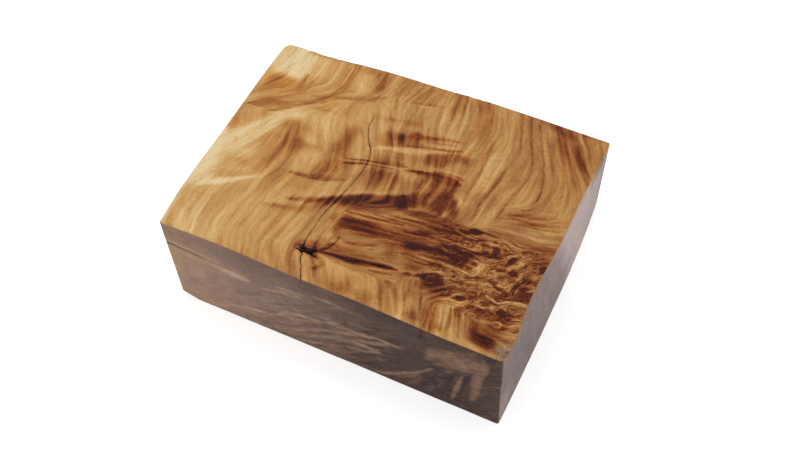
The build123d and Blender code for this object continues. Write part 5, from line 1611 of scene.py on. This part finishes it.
def sawnBurl():
    # the same wood as the saw left it, dull beside the top; its grey-violet is painted reflection
    # of the pale surroundings in the resin-soaked surface, mixed with the wood's tan
    look = sawnLook
    material, tree, place, (fine, cloud) = startMaterial("burl wood sawn and resin soaked", [
        (look["fineMm"], 3, .6, even, 0), (look["cloudMm"], 3, .55, even, 0)])
    tone, tan, line = [
        addNode(tree, "Attribute", out="Fac", attribute_name=name)
        for name in ("sideTone", "sideTan", "sideLine")]
    strandSize = (look["strandLengthMm"] / 1000, .03, look["strandWidthMm"] / 1000)
    slanted = addNode(tree, "Mapping", {
        "Vector": place, "Rotation": (0, -look["strandTurn"], 0), "Scale": strandSize},
        vector_type="TEXTURE")
    strands = addNode(tree, "TexNoise", {
        "Vector": slanted, "Scale": 1, "Detail": 3, "Roughness": .6})
    strands = addNode(tree, "Math", [strands, .5], operation="SUBTRACT")
    depth = addNode(tree, "Math", [line, look["strandDepth"]], operation="MULTIPLY")
    half = (look["fineDepth"] + look["cloudDepth"]) / 2
    total = addNode(tree, "Math", [tone, half], operation="SUBTRACT")
    for part, amount in ((fine, look["fineDepth"]), (cloud, look["cloudDepth"]), (strands, depth)):
        total = addNode(tree, "Math", [part, amount, total], operation="MULTIPLY_ADD")
    tan = addNode(tree, "Math", [tan, 0], operation="MAXIMUM")
    grey = addNode(tree, "ValToRGB", [total], stops=look["reflectedGreySide"])
    brown = addNode(tree, "ValToRGB", [total], stops=look["tanSide"])
    colour = addNode(tree, "Mix", {0: tan, 6: grey, 7: brown}, out=2, data_type="RGBA")
    finishMaterial(
        tree, colour, look["roughness"], look["gloss"], fine, look["relief"], look["reliefMm"])
    return material


def plainUnderside():
    # the face that the block stands on, planed and left plain: straight even grain with no figure
    material, tree, _, (grain, cloud) = startMaterial("burl wood planed underside", [
        (2.4, 5, .6, (1, .12, 1), .6), (22, 3, .5, even, 0)])
    total = addNode(tree, "Math", [grain, .3, .18], operation="MULTIPLY_ADD")
    total = addNode(tree, "Math", [cloud, .35, total], operation="MULTIPLY_ADD")
    colour = addNode(tree, "ValToRGB", [total], stops=burlLook["redSide"])
    finishMaterial(tree, colour, .5, .2, grain, .3, .1)
    return material


def barkAndShadeInside():
    # bark and dark resin in the pit and the cracks, also put in the gap of the shake: crumbly and
    # nearly black, partly painted shade so they read as deep
    material, tree, _, (crumbs,) = startMaterial("bark dark resin and painted shade in the openings", [
        (.7, 4, .65, even, 0)])
    colour = addNode(tree, "ValToRGB", [crumbs], stops=[
        (.34, "120B08"), (.50, "2C1C15"), (.58, "5E4C42"), (.66, "9A8A80")])
    finishMaterial(tree, colour, .7, .2, crumbs, .8, .3)
    return material


body.data.materials.clear()
for make in (planedBurl, sawnBurl, plainUnderside, barkAndShadeInside):  # in the order of the kinds
    body.data.materials.append(make())
faces.foreach_set("material_index", kind.astype(np.int32))
setMeshPoints(body, meshPoints(body) * .001)
useOnly(body)
bpy.ops.object.shade_smooth_by_angle(angle=math.radians(35))
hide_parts("burl_block")
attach(body, "root")
print("block finished:", sum(len(p.vertices) - 2 for p in body.data.polygons), "triangles")

studio = {
    "floorSize": 6, "floorColour": "EFEFEF", "floorGlow": .50, "skyColour": "FFFFFF",
    # the sky is white where it is seen, and lights the block a little less
    "skyLight": .72, "skyExtraSeen": .28,
    # place, size and watts
    "lamps": {"windowLight": ((-.45, .55, .9), .9, 3.8), "fillLight": ((.6, -.7, .8), .8, 1.1)},
}
# the stage: a white floor that keeps the block's soft shadow
deselectAll()
bpy.ops.mesh.primitive_plane_add(size=studio["floorSize"], location=(0, 0, 0))
floor = bpy.context.object
floor.name = "studio_floor"
floorPaper, tree, *_ = startMaterial("white paper floor")
seen = addNode(tree, "LightPath", out="Is Camera Ray")
plain = addNode(tree, "BsdfDiffuse", {"Color": linear(studio["floorColour"])})
strength = addNode(tree, "Math", [seen, studio["floorGlow"]], operation="MULTIPLY")
glow = addNode(tree, "Emission", {"Color": linear(studio["skyColour"]), "Strength": strength})
both = addNode(tree, "AddShader", [plain, glow])
addNode(tree, "OutputMaterial", {"Surface": both})
floor.data.materials.append(floorPaper)
floor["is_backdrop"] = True

world = bpy.data.worlds.new("studio")
bpy.context.scene.world = world
world.use_nodes = True
tree = world.node_tree
tree.nodes.clear()
direct = 0
for ray in ("Is Camera Ray", "Is Glossy Ray", "Is Transmission Ray"):
    seen = addNode(tree, "LightPath", out=ray)
    direct = addNode(tree, "Math", [seen, direct], operation="MAXIMUM")
strength = addNode(
    tree, "Math", [direct, studio["skyExtraSeen"], studio["skyLight"]], operation="MULTIPLY_ADD")
sky = addNode(tree, "Background", {"Color": linear(studio["skyColour"]), "Strength": strength})
addNode(tree, "OutputWorld", {"Surface": sky})

for name, (place, size, watts) in studio["lamps"].items():
    deselectAll()
    bpy.ops.object.light_add(type="AREA", location=place)
    lamp = bpy.context.object
    lamp.name = name
    lamp.data.shape = "DISK"
    lamp.data.size = size
    lamp.data.energy = watts
    lamp.rotation_euler = (-Vector(place)).to_track_quat("-Z", "Y").to_euler()

camera = {  # as the photograph was taken
    "place": (.136768, -.244744, .390122),
    "right": (.90461203, .42414805, -.04213672),
    "up": (-.31746595, .73643132, .59739793),
    "lens": 52.81,
}
bpy.ops.object.camera_add(location=camera["place"])
view = bpy.context.object
right, up = Vector(camera["right"]), Vector(camera["up"])
view.rotation_euler = Matrix((right, up, right.cross(up))).transposed().to_euler()
view.data.lens = camera["lens"]
view.data.sensor_width = 36
view.data.clip_start = .01
bpy.context.scene.camera = view
bpy.context.scene.view_settings.view_transform = "Standard"
print("stage, lamps and camera set")

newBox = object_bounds()
sizes = [[round(b - a, 5) for a, b in zip(*box)] for box in (newBox, cadBox)]
print("size:", sizes[0], "cad:", sizes[1])
